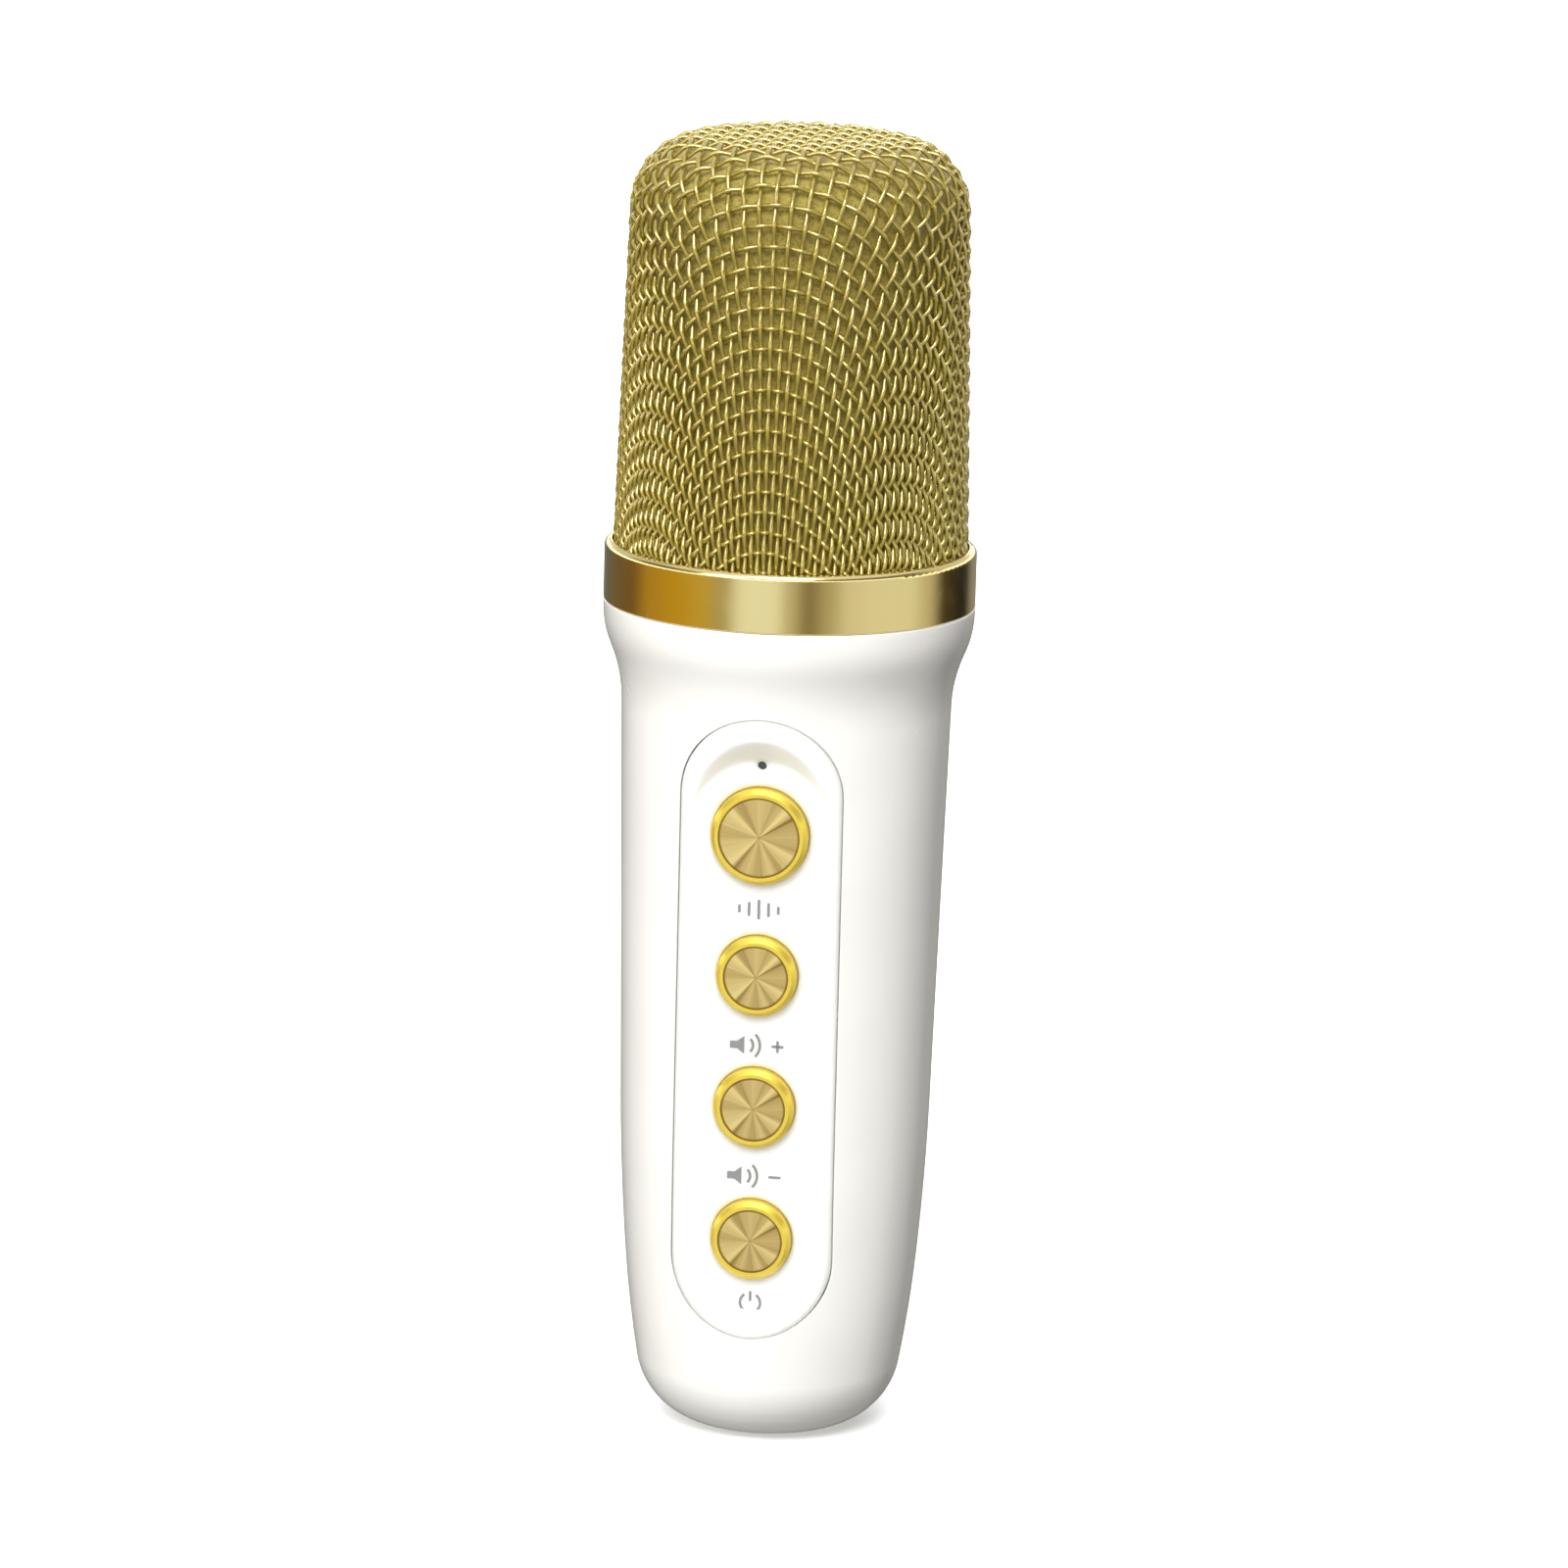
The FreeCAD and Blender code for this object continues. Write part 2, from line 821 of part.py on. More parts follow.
def centred_box(name, width, depths, heights):
    """A block across the middle, between two depths and two heights."""
    return make_box(name, (f"-{width} / 2", depths[0], heights[0]), (f"{width} / 2", depths[1], heights[1]))


def make_chassis():
    front = "chassis_front"
    back = "chassis_front + chassis_thickness"
    plate = ("chassis_bottom", "ledge_height + disc_rise / 2")
    shelf = ("shelf_top - shelf_thickness", "shelf_top")
    shapes = [
        centred_box("chassis_plate", "chassis_width", (front, back), plate),
        centred_box("chassis_foot", "foot_width", (front, back), ("wall", "chassis_bottom + overcut")),
        centred_box("chassis_shelf", "shelf_width", (front, "shelf_back"), shelf),
        make_rod("chassis_rim", "chassis_disc", "disc_rise", ("0", "0", "ledge_height")),
    ]
    for low in ("low_saddle", "high_saddle"):
        shapes.append(centred_box(low, "saddle_width", (front, "saddle_back"), (low, f"{low} + saddle_rise")))
    shapes += board_standoffs()
    solid = join("chassis_solid", shapes)
    through = (f"{front} - overcut", f"{back} + overcut")
    cell_spot = ("0", "cell_offset", "cell_bottom - overcut")
    tools = [
        make_rod("cell_space", "cell_radius + cell_gap", "cell_length + 2 * overcut", cell_spot),
        centred_box("high_window", "window_width", through, ("high_window", "ledge_height")),
        centred_box("low_window", "window_width", through, ("low_window", "low_window_top")),
        make_rod("lead_hole", "stem_bore", "disc_rise + 2 * overcut", ("0", "0", "ledge_height - overcut")),
    ]
    for side in ("", "-"):
        spot = (f"{side}pillar_offset", "0", "ledge_height - overcut")
        tools.append(make_rod("chassis_hole", "screw_radius + hole_gap", "disc_rise + 2 * overcut", spot))
    board_back = -value("board_front + board_thickness")
    for across, up in standoff_spots():
        hole = make_rod("pilot_hole", "screw_radius + thread_gap", "pilot_depth + overcut")
        hole.Placement = panel_place(up, board_back - value("pilot_depth"), across)
        tools.append(hole)
    keep(take_away("chassis", solid, tools), "chassis")


def board_standoffs():
    """Posts from the chassis plate to the back of the board, one at each board screw."""
    posts = []
    back = -value("board_front + board_thickness")
    plate_middle = value("chassis_front + chassis_thickness / 2")
    for across, up in standoff_spots():
        reach = plate_middle - panel_spot(across, up, back).y
        post = make_rod("standoff", "standoff_radius", str(reach))
        post.Placement = panel_place(up, back - reach, across)
        posts.append(post)
    return posts


def make_chassis_screws():
    screws = []
    for side in (-1, 1):
        spot = Vector(side * value("pillar_offset"), 0, value("ledge_height + disc_rise"))
        screws.append(make_screw("chassis_screw", Placement(spot, Rotation()), "chassis_screw_length"))
    keep(group("chassis_screws", screws), "chassis_screws")


# ---- cell and charging ----

def make_cell():
    body = new_body("battery_cell")
    top = "cell_bottom + cell_length"
    corners = [
        ("0", "cell_bottom"),
        ("cell_radius - cell_round", "cell_bottom", "cell_round", 1),
        ("cell_radius", "cell_bottom + cell_round"),
        ("cell_radius", f"{top} - cell_round", "cell_round", 1),
        ("cell_radius - cell_round", top),
        ("cell_cap_radius", top),
        ("cell_cap_radius", f"{top} + cell_cap"),
        ("0", f"{top} + cell_cap"),
    ]
    add_round(body, corners)
    bind(body, "Placement.Base.y", "cell_offset")
    keep(body, "battery_cell")
    near = "cell_offset - cell_radius - pad_gap"
    depths = (f"{near} - pad_thickness", near)
    pad = centred_box("battery_pad", "pad_width", depths, ("pad_bottom", "pad_top"))
    keep(pad, "battery_pad")


def make_charge_board():
    top = "socket_height - socket_rise / 2"
    board = centred_box("charge_board", "charge_width", ("charge_front", "charge_back"),
                        (f"{top} - charge_thickness", top))
    keep(board, "charge_board")


def make_socket():
    body = new_body("charge_socket_shell")
    blank = add_sketch(body, "XZ_Plane", "-socket_back")
    add_outline(blank, socket_outline("0"))
    add_pad(body, blank, "socket_depth", back=True)
    mouth = add_sketch(body, "XZ_Plane", "-(socket_back + socket_depth)")
    add_outline(mouth, socket_outline("-socket_wall"))
    add_pocket(body, mouth, "socket_depth - socket_end", back=True)
    keep(body, "charge_socket_shell")
    depths = ("socket_back + socket_end", "socket_back + socket_depth - tongue_sink")
    heights = ("socket_height - tongue_rise / 2", "socket_height + tongue_rise / 2")
    keep(centred_box("charge_socket_tongue", "tongue_width", depths, heights), "charge_socket_tongue")


# ---- head ----

def make_ring():
    corners = [
        ("ring_flange", "ring_bottom"),
        ("rim_radius - ring_edge", "ring_bottom", "ring_edge", 1),
        ("rim_radius", "ring_bottom + ring_edge"),
        ("rim_radius", "ring_top - ring_round", "ring_round", 1),
        ("rim_radius - ring_round", "ring_top"),
        ("ring_bore", "ring_top"),
        ("ring_bore", "ring_bottom + ring_flange_rise"),
        ("ring_flange", "ring_bottom + ring_flange_rise"),
    ]
    turned("grille_ring", corners)


def dome_outline(inset, bottom, thickness):
    """A cup that follows the grille, inset from its outer face."""
    skin = []
    for depth in (f"({inset})", f"({inset} + {thickness})"):
        skin.append([
            (f"mesh_skirt - {depth}", bottom),
            (f"mesh_skirt - {depth}", "mesh_skirt_top"),
            (f"mesh_shoulder - {depth}", "mesh_shoulder_height"),
            ("mesh_crown", f"mesh_top - {depth}"),
            ("0", f"mesh_top - {depth}"),
        ])
    outer, inner = skin
    inner_curve = f"mesh_curve - ({inset} + {thickness})"
    outer[2] = outer[2] + (f"mesh_curve - ({inset})", 1)
    inner = inner[::-1]
    inner[1] = inner[1] + (inner_curve, -1)
    return outer + inner


def make_head():
    make_ring()
    turned("grille_mesh", dome_outline("0", "mesh_bottom", "mesh_thickness"))
    turned("foam_liner", dome_outline("mesh_thickness + foam_gap", "foam_bottom", "foam_thickness"))
    corners = [
        ("sleeve_bore", "sleeve_bottom"),
        ("sleeve_radius - sleeve_chamfer", "sleeve_bottom"),
        ("sleeve_radius", "sleeve_bottom + sleeve_chamfer"),
        ("sleeve_radius", "mesh_bottom"),
        ("sleeve_collar", "mesh_bottom"),
        ("sleeve_collar", "sleeve_top"),
        ("sleeve_bore", "sleeve_top"),
    ]
    turned("mesh_retainer", corners)
    turned("head_seal", [
        ("seal_inner", "handle_height - seal_depth"),
        ("seal_outer", "handle_height - seal_depth"),
        ("seal_outer", "handle_height"),
        ("seal_inner", "handle_height"),
    ])


# ---- capsule ----

def make_capsule():
    base = "ledge_height + disc_rise"
    turned("capsule_cradle", [
        ("stem_bore", base),
        ("cradle_radius + cradle_foot", base),
        ("cradle_radius + cradle_foot", f"{base} + cradle_foot_rise"),
        ("cradle_radius", f"{base} + cradle_neck_rise"),
        ("cradle_radius", "cradle_top"),
        ("cradle_bore", "cradle_top"),
        ("cradle_bore", "cradle_floor"),
        ("stem_bore", "cradle_floor"),
    ])
    boot = "cradle_bore - boot_gap"
    turned("capsule_boot", [
        ("stem_bore", "cradle_floor"),
        (boot, "cradle_floor"),
        (boot, "boot_top"),
        ("boot_bore", "boot_top"),
        ("boot_bore", "capsule_bottom - boot_seat"),
        ("stem_bore", "capsule_bottom - boot_seat"),
    ])
    turned("capsule_body", [
        ("0", "capsule_bottom"),
        ("capsule_radius", "capsule_bottom"),
        ("capsule_radius", "capsule_top - capsule_chamfer"),
        ("capsule_radius - capsule_chamfer", "capsule_top"),
        ("0", "capsule_top"),
    ])
    turned("capsule_felt", [
        ("0", "capsule_top"),
        ("capsule_radius - felt_inset", "capsule_top"),
        ("capsule_radius - felt_inset", "capsule_top + felt_rise"),
        ("0", "capsule_top + felt_rise"),
    ])


# ---- leads inside the handle ----

def to_board(across, up):
    """The last two points of a lead that is soldered square to the back of the board."""
    back = -value("board_front + board_thickness")
    return [panel_spot(across, up, back - value("solder_run")), panel_spot(across, up, back)]


def make_leads():
    bottom = value("capsule_bottom")
    for name, across in (("capsule_lead_signal", 1.3), ("capsule_lead_ground", -1.3)):
        route = [
            Vector(across, 0, bottom),
            Vector(across, 0, bottom - 8),
            Vector(across, 0.4, bottom - 15.5),
            Vector(across, -4.6, bottom - 23),
        ]
        make_lead(name, route + to_board(across, 20))
    offset = value("cell_offset")
    top = value("cell_bottom + cell_length + cell_cap")
    route = [
        Vector(-0.6, offset, top),
        Vector(-0.6, offset, top + 3),
        Vector(-3.4, offset - 6.2, top + 4.2),
        Vector(-2.7, -4.3, top - 1.5),
    ]
    make_lead("battery_lead_positive", route + to_board(-2.6, 20))
    low = value("cell_bottom")
    route = [
        Vector(-0.6, offset, low),
        Vector(-0.6, offset, low - 3),
        Vector(-2.4, offset - 5, low - 4.6),
    ]
    make_lead("battery_lead_negative", route + to_board(-3.2, -26.5))
    socket = value("socket_height - socket_rise / 2")
    route = [
        Vector(2.4, 3.6, socket),
        Vector(2.4, 3.6, socket + 2.8),
        Vector(2.6, 0.4, socket + 4.6),
    ]
    make_lead("charge_lead", route + to_board(2.8, -26.5))


# ---- checks and output ----

def check_document():
    doc.recompute()
    for thing in doc.Objects:
        if "Invalid" in thing.State or "Error" in thing.State:
            raise RuntimeError(f"{thing.Name} ({thing.Label}) failed: {thing.State}")
    for thing in parts:
        shape = thing.Shape
        if shape.isNull() or not shape.isValid() or not shape.Solids:
            raise RuntimeError(f"{thing.Label}: no valid solid")


def check_cuts():
    """Each cut has to take material away."""
    for thing in doc.Objects:
        if thing.TypeId in ("PartDesign::Pocket", "PartDesign::Groove"):
            before = thing.BaseFeature.Shape.Volume
            if before - thing.Shape.Volume < 1e-3:
                raise RuntimeError(f"{thing.Name} cuts nothing")


def write_parts():
    os.makedirs("parts", exist_ok=True)
    for thing in parts:
        thing.Shape.exportStep(f"parts/{thing.Label}.step")
        box = thing.Shape.BoundBox
        print(f"{thing.Label}: {len(thing.Shape.Solids)} solid, {thing.Shape.Volume:.1f} mm3, "
              f"z {box.ZMin:.2f} to {box.ZMax:.2f}")


fill_sheet()
make_handle_shell()
make_button_panel()
make_buttons()
make_switches()
make_circuit_board()
make_board_screws()
make_light()
make_radio_module()
make_board_chips()
make_antenna()
make_chassis()
make_chassis_screws()
make_cell()
make_charge_board()
make_socket()
make_head()
make_capsule()
make_leads()
check_document()
check_cuts()
write_parts()
print(len(parts), "sub-parts")
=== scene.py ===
import json
import math

import bmesh
import bpy
from mathutils import Matrix, Vector


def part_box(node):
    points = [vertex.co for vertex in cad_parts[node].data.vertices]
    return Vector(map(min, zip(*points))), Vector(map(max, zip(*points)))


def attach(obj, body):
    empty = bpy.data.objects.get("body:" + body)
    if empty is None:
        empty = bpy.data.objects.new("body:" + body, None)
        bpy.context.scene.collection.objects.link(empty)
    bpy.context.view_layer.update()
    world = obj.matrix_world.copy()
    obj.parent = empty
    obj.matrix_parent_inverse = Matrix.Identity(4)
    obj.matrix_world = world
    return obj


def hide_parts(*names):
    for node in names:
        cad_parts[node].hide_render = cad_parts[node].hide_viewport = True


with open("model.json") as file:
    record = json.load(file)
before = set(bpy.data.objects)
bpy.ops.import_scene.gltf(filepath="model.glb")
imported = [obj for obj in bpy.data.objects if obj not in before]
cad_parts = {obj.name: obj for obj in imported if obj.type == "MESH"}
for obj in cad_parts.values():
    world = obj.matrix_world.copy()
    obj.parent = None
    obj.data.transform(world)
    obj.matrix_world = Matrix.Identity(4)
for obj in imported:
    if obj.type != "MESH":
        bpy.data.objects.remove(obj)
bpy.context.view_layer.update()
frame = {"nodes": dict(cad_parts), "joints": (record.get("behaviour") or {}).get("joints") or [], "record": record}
print("frame loaded:", len(frame["nodes"]), "nodes")

nodes = frame["nodes"]
record = frame["record"]
slotColour = {m["slot"]: tuple(m["base_color"][:3]) + (1.0,) for m in record["materials"]}
mm = 0.001

# the camera comes first: a long lens a little above the button panel
cameraPlace = {
    "azimuth": 8.7,      # degrees to the right of the panel's front
    "elevation": 12.0,
    "distance": 0.94,
    "lens": 200.0,
    "lean": 1.65,        # degrees of roll, so the handle leans a little
    "aim": (0.0, 0.0, 0.0707),
}


def makeCamera(place):
    a, e = math.radians(place["azimuth"]), math.radians(place["elevation"])
    towards = Vector((math.sin(a) * math.cos(e), -math.cos(a) * math.cos(e), math.sin(e)))
    data = bpy.data.cameras.new("studioCamera")
    data.lens = place["lens"]
    data.clip_start, data.clip_end = 0.01, 30.0
    camera = bpy.data.objects.new("studioCamera", data)
    bpy.context.scene.collection.objects.link(camera)
    spot = Vector(place["aim"]) + towards * place["distance"]
    turn = (-towards).to_track_quat("-Z", "Y").to_matrix().to_4x4()
    lean = Matrix.Rotation(math.radians(place["lean"]), 4, "Z")
    camera.matrix_world = Matrix.Translation(spot) @ turn @ lean
    bpy.context.scene.camera = camera


makeCamera(cameraPlace)
print("camera placed")


def nothingSelected():
    if bpy.context.object and bpy.context.object.mode != "OBJECT":
        bpy.ops.object.mode_set(mode="OBJECT")
    bpy.ops.object.select_all(action="DESELECT")
    bpy.context.view_layer.objects.active = None


def makeActive(piece):
    nothingSelected()
    piece.select_set(True)
    bpy.context.view_layer.objects.active = piece


def finishPiece(piece, name, body):
    piece.name = name
    piece.data.name = name
    makeActive(piece)
    bpy.ops.object.transform_apply(location=True, rotation=True, scale=True)
    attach(piece, body)
    return piece


def addModifier(piece, kind, **settings):
    modifier = piece.modifiers.new(kind.title(), kind)
    for key, value in settings.items():
        setattr(modifier, key, value)
    makeActive(piece)
    bpy.ops.object.modifier_apply(modifier=modifier.name)


def joinPieces(pieces):
    makeActive(pieces[0])
    for piece in pieces:
        piece.select_set(True)
    bpy.ops.object.join()
    return pieces[0]


# woven grille: a flat square mesh pressed over the dome, wire by wire
grilleWeave = {
    "pitch": 1.84 * mm,        # between wires in the flat cloth
    "wire": 0.25 * mm,         # wire radius
    "wave": 0.25 * mm,         # how far a wire rises over its neighbour
    "inset": 0.5 * mm,         # middle of the weave below the CAD face
    "crown": 10.35 * mm,       # flat top's radius
    "shoulder": 7.9 * mm,      # outer radius of the shoulder
    "shoulderHeight": 133.4 * mm,
    "slope": 0.0238,           # side leans in by this much for its height
    "hemHeight": 93.9 * mm,
    "stretch": 1.175,          # pressing draws the cloth down the side
    "ease": 6 * mm,            # over this length the stretch sets in
    "steps": 5,                # points along a wire in each cell
}


def domePoint(weave, arc, azimuth, rise):
    # no weave here, only the dome: a place by length down the side, and azimuth
    crown, inset = weave["crown"], weave["inset"]
    bend = weave["shoulder"] - inset
    lean = math.atan(weave["slope"])
    bendLength = bend * (math.pi / 2 - lean)
    if arc <= crown:
        r, z, out, up = arc, weave["shoulderHeight"] + bend, 0.0, 1.0
    elif arc <= crown + bendLength:
        t = (arc - crown) / bend
        out, up = math.sin(t), math.cos(t)
        r, z = crown + bend * out, weave["shoulderHeight"] + bend * up
    else:
        run = arc - crown - bendLength
        out, up = math.cos(lean), math.sin(lean)
        r = crown + bend * out + run * math.sin(lean)
        z = weave["shoulderHeight"] + bend * up - run * math.cos(lean)
    r += rise * out
    z += rise * up
    return Vector((r * math.cos(azimuth), r * math.sin(azimuth), z))


def pressedArc(weave, rho):
    # length down the side that the flat cloth's radius reaches
    over = max(0.0, rho - weave["crown"])
    ease = weave["ease"]
    if over < ease:
        return min(rho, weave["crown"]) + over + (weave["stretch"] - 1) * over * over / (2 * ease)
    return weave["crown"] + over + (weave["stretch"] - 1) * (over - ease / 2)


def weaveFamily(weave, name, acrossX):
    pitch, steps = weave["pitch"], weave["steps"]
    bend = weave["shoulder"] - weave["inset"]
    hemArc = (weave["crown"] + bend * math.pi / 2
              + weave["shoulderHeight"] - weave["hemHeight"])
    reach = weave["crown"]
    while pressedArc(weave, reach) < hemArc:
        reach += 0.05 * mm
    count = int(reach / pitch)
    data = bpy.data.curves.new(name, "CURVE")
    data.dimensions = "3D"
    data.bevel_depth = weave["wire"]
    data.bevel_resolution = 1
    data.use_fill_caps = True
    for line in range(-count, count + 1):
        side = line * pitch
        half = math.sqrt(max(0.0, reach * reach - side * side))
        last = int(half / pitch * steps)
        if last < steps:
            continue
        spline = data.splines.new("POLY")
        spline.points.add(2 * last)
        for k in range(-last, last + 1):
            along = k * pitch / steps
            x, y = (along, side) if acrossX else (side, along)
            sign = (-1) ** (line % 2) * (1 if acrossX else -1)
            rise = sign * weave["wave"] * math.cos(math.pi * k / steps)
            arc = pressedArc(weave, math.hypot(x, y))
            spot = domePoint(weave, arc, math.atan2(y, x), rise)
            spline.points[k + last].co = (*spot, 1.0)
    wires = bpy.data.objects.new(name, data)
    bpy.context.scene.collection.objects.link(wires)
    makeActive(wires)
    bpy.ops.object.convert(target="MESH")
    wires = bpy.context.object
    bpy.ops.object.shade_smooth()
    return finishPiece(wires, name, "grille_head")


warp = weaveFamily(grilleWeave, "grille_warp", True)
weft = weaveFamily(grilleWeave, "grille_weft", False)
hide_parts("grille_mesh")
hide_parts("grille_mesh")
print("grille woven:", len(warp.data.polygons) + len(weft.data.polygons), "faces")

# foam cup behind the grille: a circle drawn down over the dome, then given its wall
foamCup = {
    "gap": 1.22 * mm,          # from the grille's outer face to the foam
    "wall": 2.1 * mm,
    "rows": 34,
    "around": 160,
    "pore": 0.9 * mm,
    "roughness": 0.16 * mm,
}


def pickEdges(piece, test):
    # selects edges in edit mode by a test of each
    mesh = bmesh.from_edit_mesh(piece.data)
    bpy.ops.mesh.select_mode(type="EDGE")
    bpy.ops.mesh.select_all(action="DESELECT")
    for edge in mesh.edges:
        if test(edge):
            edge.select_set(True)
    bmesh.update_edit_mesh(piece.data)


def makeFoam(cup, weave):
    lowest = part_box("foam_liner")[0].z
    profile = dict(weave)
    profile["inset"] = cup["gap"]
    bend = weave["shoulder"] - cup["gap"]
    hem = weave["crown"] + bend * math.pi / 2 + weave["shoulderHeight"] - lowest - 0.2 * mm
    arcs = [hem * k / cup["rows"] for k in range(1, cup["rows"] + 1)]
    start = domePoint(profile, arcs[0], 0.0, 0.0)
    nothingSelected()
    bpy.ops.mesh.primitive_circle_add(vertices=cup["around"], radius=start.x,
                                      location=(0, 0, start.z), fill_type="NGON")
    foam = bpy.context.object
    bpy.ops.object.mode_set(mode="EDIT")
    bpy.ops.mesh.select_all(action="SELECT")
    bpy.ops.mesh.poke()
    pickEdges(foam, lambda edge: edge.is_boundary)
    before = start
    for arc in arcs[1:]:
        spot = domePoint(profile, arc, 0.0, 0.0)
        grow = spot.x / before.x
        bpy.ops.mesh.extrude_edges_move(TRANSFORM_OT_translate={"value": (0, 0, spot.z - before.z)})
        bpy.ops.transform.resize(value=(grow, grow, 1), center_override=(0, 0, spot.z))
        before = spot
    bpy.ops.mesh.select_all(action="SELECT")
    bpy.ops.mesh.normals_make_consistent(inside=False)
    bpy.ops.object.mode_set(mode="OBJECT")
    addModifier(foam, "SOLIDIFY", thickness=cup["wall"], offset=-1.0)
    pores = bpy.data.textures.new("foamPores", "CLOUDS")
    pores.noise_scale = cup["pore"]
    pores.noise_depth = 2
    addModifier(foam, "DISPLACE", texture=pores, texture_coords="GLOBAL",
                strength=-cup["roughness"], mid_level=0.0)
    makeActive(foam)
    bpy.ops.object.shade_smooth()
    return finishPiece(foam, "foam_cup", "grille_head")


foamPiece = makeFoam(foamCup, grilleWeave)
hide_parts("foam_liner")
print("foam cup made")

# felt dot glued on the capsule
feltDot = {"around": 48, "bulge": 0.12 * mm, "edge": 0.15 * mm}


def makeFelt(dot):
    low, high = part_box("capsule_felt")
    radius = (high.x - low.x) / 2 - 0.02 * mm
    nothingSelected()
    bpy.ops.mesh.primitive_circle_add(vertices=dot["around"], radius=radius - dot["edge"],
                                      location=(0, 0, low.z), fill_type="NGON")
    felt = bpy.context.object
    bpy.ops.object.mode_set(mode="EDIT")
    bpy.ops.mesh.select_all(action="SELECT")
    middle = (low.z + high.z) / 2
    rings = ((radius / (radius - dot["edge"]), middle), (1 - dot["edge"] / radius, high.z - 0.1 * mm))
    for grow, z in rings:
        bpy.ops.mesh.extrude_region_move(TRANSFORM_OT_translate={"value": (0, 0, 0.0)})
        picked = [v for v in bmesh.from_edit_mesh(felt.data).verts if v.select]
        here = picked[0].co.z + low.z
        bpy.ops.transform.translate(value=(0, 0, z - here))
        bpy.ops.transform.resize(value=(grow, grow, 1), center_override=(0, 0, z))
    bpy.ops.mesh.inset(thickness=radius * 0.3)
    bpy.ops.mesh.inset(thickness=radius * 0.3)
    bpy.ops.mesh.poke(offset=dot["bulge"] * 0.5)
    bpy.ops.mesh.select_all(action="SELECT")
    bpy.ops.mesh.normals_make_consistent(inside=False)
    bpy.ops.object.mode_set(mode="OBJECT")
    addModifier(felt, "SUBSURF", levels=1, render_levels=1)
    bpy.ops.object.shade_smooth()
    return finishPiece(felt, "felt_dot", "handle")


feltPiece = makeFelt(feltDot)
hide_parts("capsule_felt")
print("felt dot made")

# printed marks below the buttons: level bars, speaker with plus and minus, and a power sign
panelMarks = {
    "ink": 0.03 * mm,          # thickness of the print
    "line": 0.29 * mm,
    "floorBelowDisc": 1.05 * mm,
    "below": {"effect": 8.15 * mm, "volume_up": 7.8 * mm,      # from the button's middle
              "volume_down": 7.75 * mm, "power": 7.25 * mm},
    "bars": (0.9, 1.55, 2.2, 1.55, 0.9),   # heights in mm
    "barStep": 1.05 * mm,
}
pressAxis = Vector(next(j["axis"] for j in frame["joints"] if j["name"] == "effect_press"))
panelOut = -pressAxis.normalized()
panelUp = Vector((0, 0, 1)) - panelOut * panelOut.z
panelUp.normalize()
panelAcross = panelUp.cross(panelOut)


def markPlace(marks, button):
    low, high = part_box(button + "_button_disc")
    middle = (low + high) / 2
    spot = middle - panelOut * marks["floorBelowDisc"] - panelUp * marks["below"][button]
    turn = Matrix((panelAcross, panelUp, panelOut)).transposed().to_4x4()
    return Matrix.Translation(spot) @ turn


def inkStroke(marks, x, y, wide, high):
    # a rounded bar of ink lying flat
    nothingSelected()
    bpy.ops.mesh.primitive_plane_add(size=1, location=(x, y, 0))
    stroke = bpy.context.object
    bpy.ops.object.mode_set(mode="EDIT")
    bpy.ops.mesh.select_all(action="SELECT")
    bpy.ops.transform.resize(value=(wide, high, 1), center_override=(x, y, 0))
    bpy.ops.mesh.select_mode(type="VERT")
    bpy.ops.mesh.select_all(action="SELECT")
    bpy.ops.mesh.bevel(offset=min(wide, high) * 0.42, segments=3, affect="VERTICES")
    bpy.ops.mesh.select_all(action="SELECT")
    bpy.ops.mesh.extrude_region_move(TRANSFORM_OT_translate={"value": (0, 0, marks["ink"])})
    bpy.ops.object.mode_set(mode="OBJECT")
    bpy.ops.object.transform_apply(location=True, rotation=True, scale=True)
    return stroke


def inkArc(marks, x, y, radius, start, end):
    # a bow of ink between two angles, in degrees from +X
    line = marks["line"]
    nothingSelected()
    bpy.ops.mesh.primitive_circle_add(vertices=72, radius=radius - line / 2, location=(x, y, 0))
    bow = bpy.context.object
    bpy.ops.object.mode_set(mode="EDIT")
    mesh = bmesh.from_edit_mesh(bow.data)
    bpy.ops.mesh.select_mode(type="VERT")
    bpy.ops.mesh.select_all(action="DESELECT")
    for v in mesh.verts:
        angle = math.degrees(math.atan2(v.co.y, v.co.x))
        inside = any(start - 0.1 <= angle + turn <= end + 0.1 for turn in (0, 360, -360))
        v.select_set(not inside)
    bmesh.update_edit_mesh(bow.data)
    bpy.ops.mesh.delete(type="VERT")
    bpy.ops.mesh.select_mode(type="EDGE")
    bpy.ops.mesh.select_all(action="SELECT")
    grow = (radius + line / 2) / (radius - line / 2)
    bpy.ops.mesh.extrude_edges_move(TRANSFORM_OT_translate={"value": (0, 0, 0)})
    bpy.ops.transform.resize(value=(grow, grow, 1), center_override=(x, y, 0))
    bpy.ops.mesh.select_all(action="SELECT")
    bpy.ops.mesh.extrude_region_move(TRANSFORM_OT_translate={"value": (0, 0, marks["ink"])})
    bpy.ops.mesh.select_all(action="SELECT")
    bpy.ops.mesh.normals_make_consistent(inside=False)
    bpy.ops.object.mode_set(mode="OBJECT")
    bpy.ops.object.transform_apply(location=True, rotation=True, scale=True)
    return bow


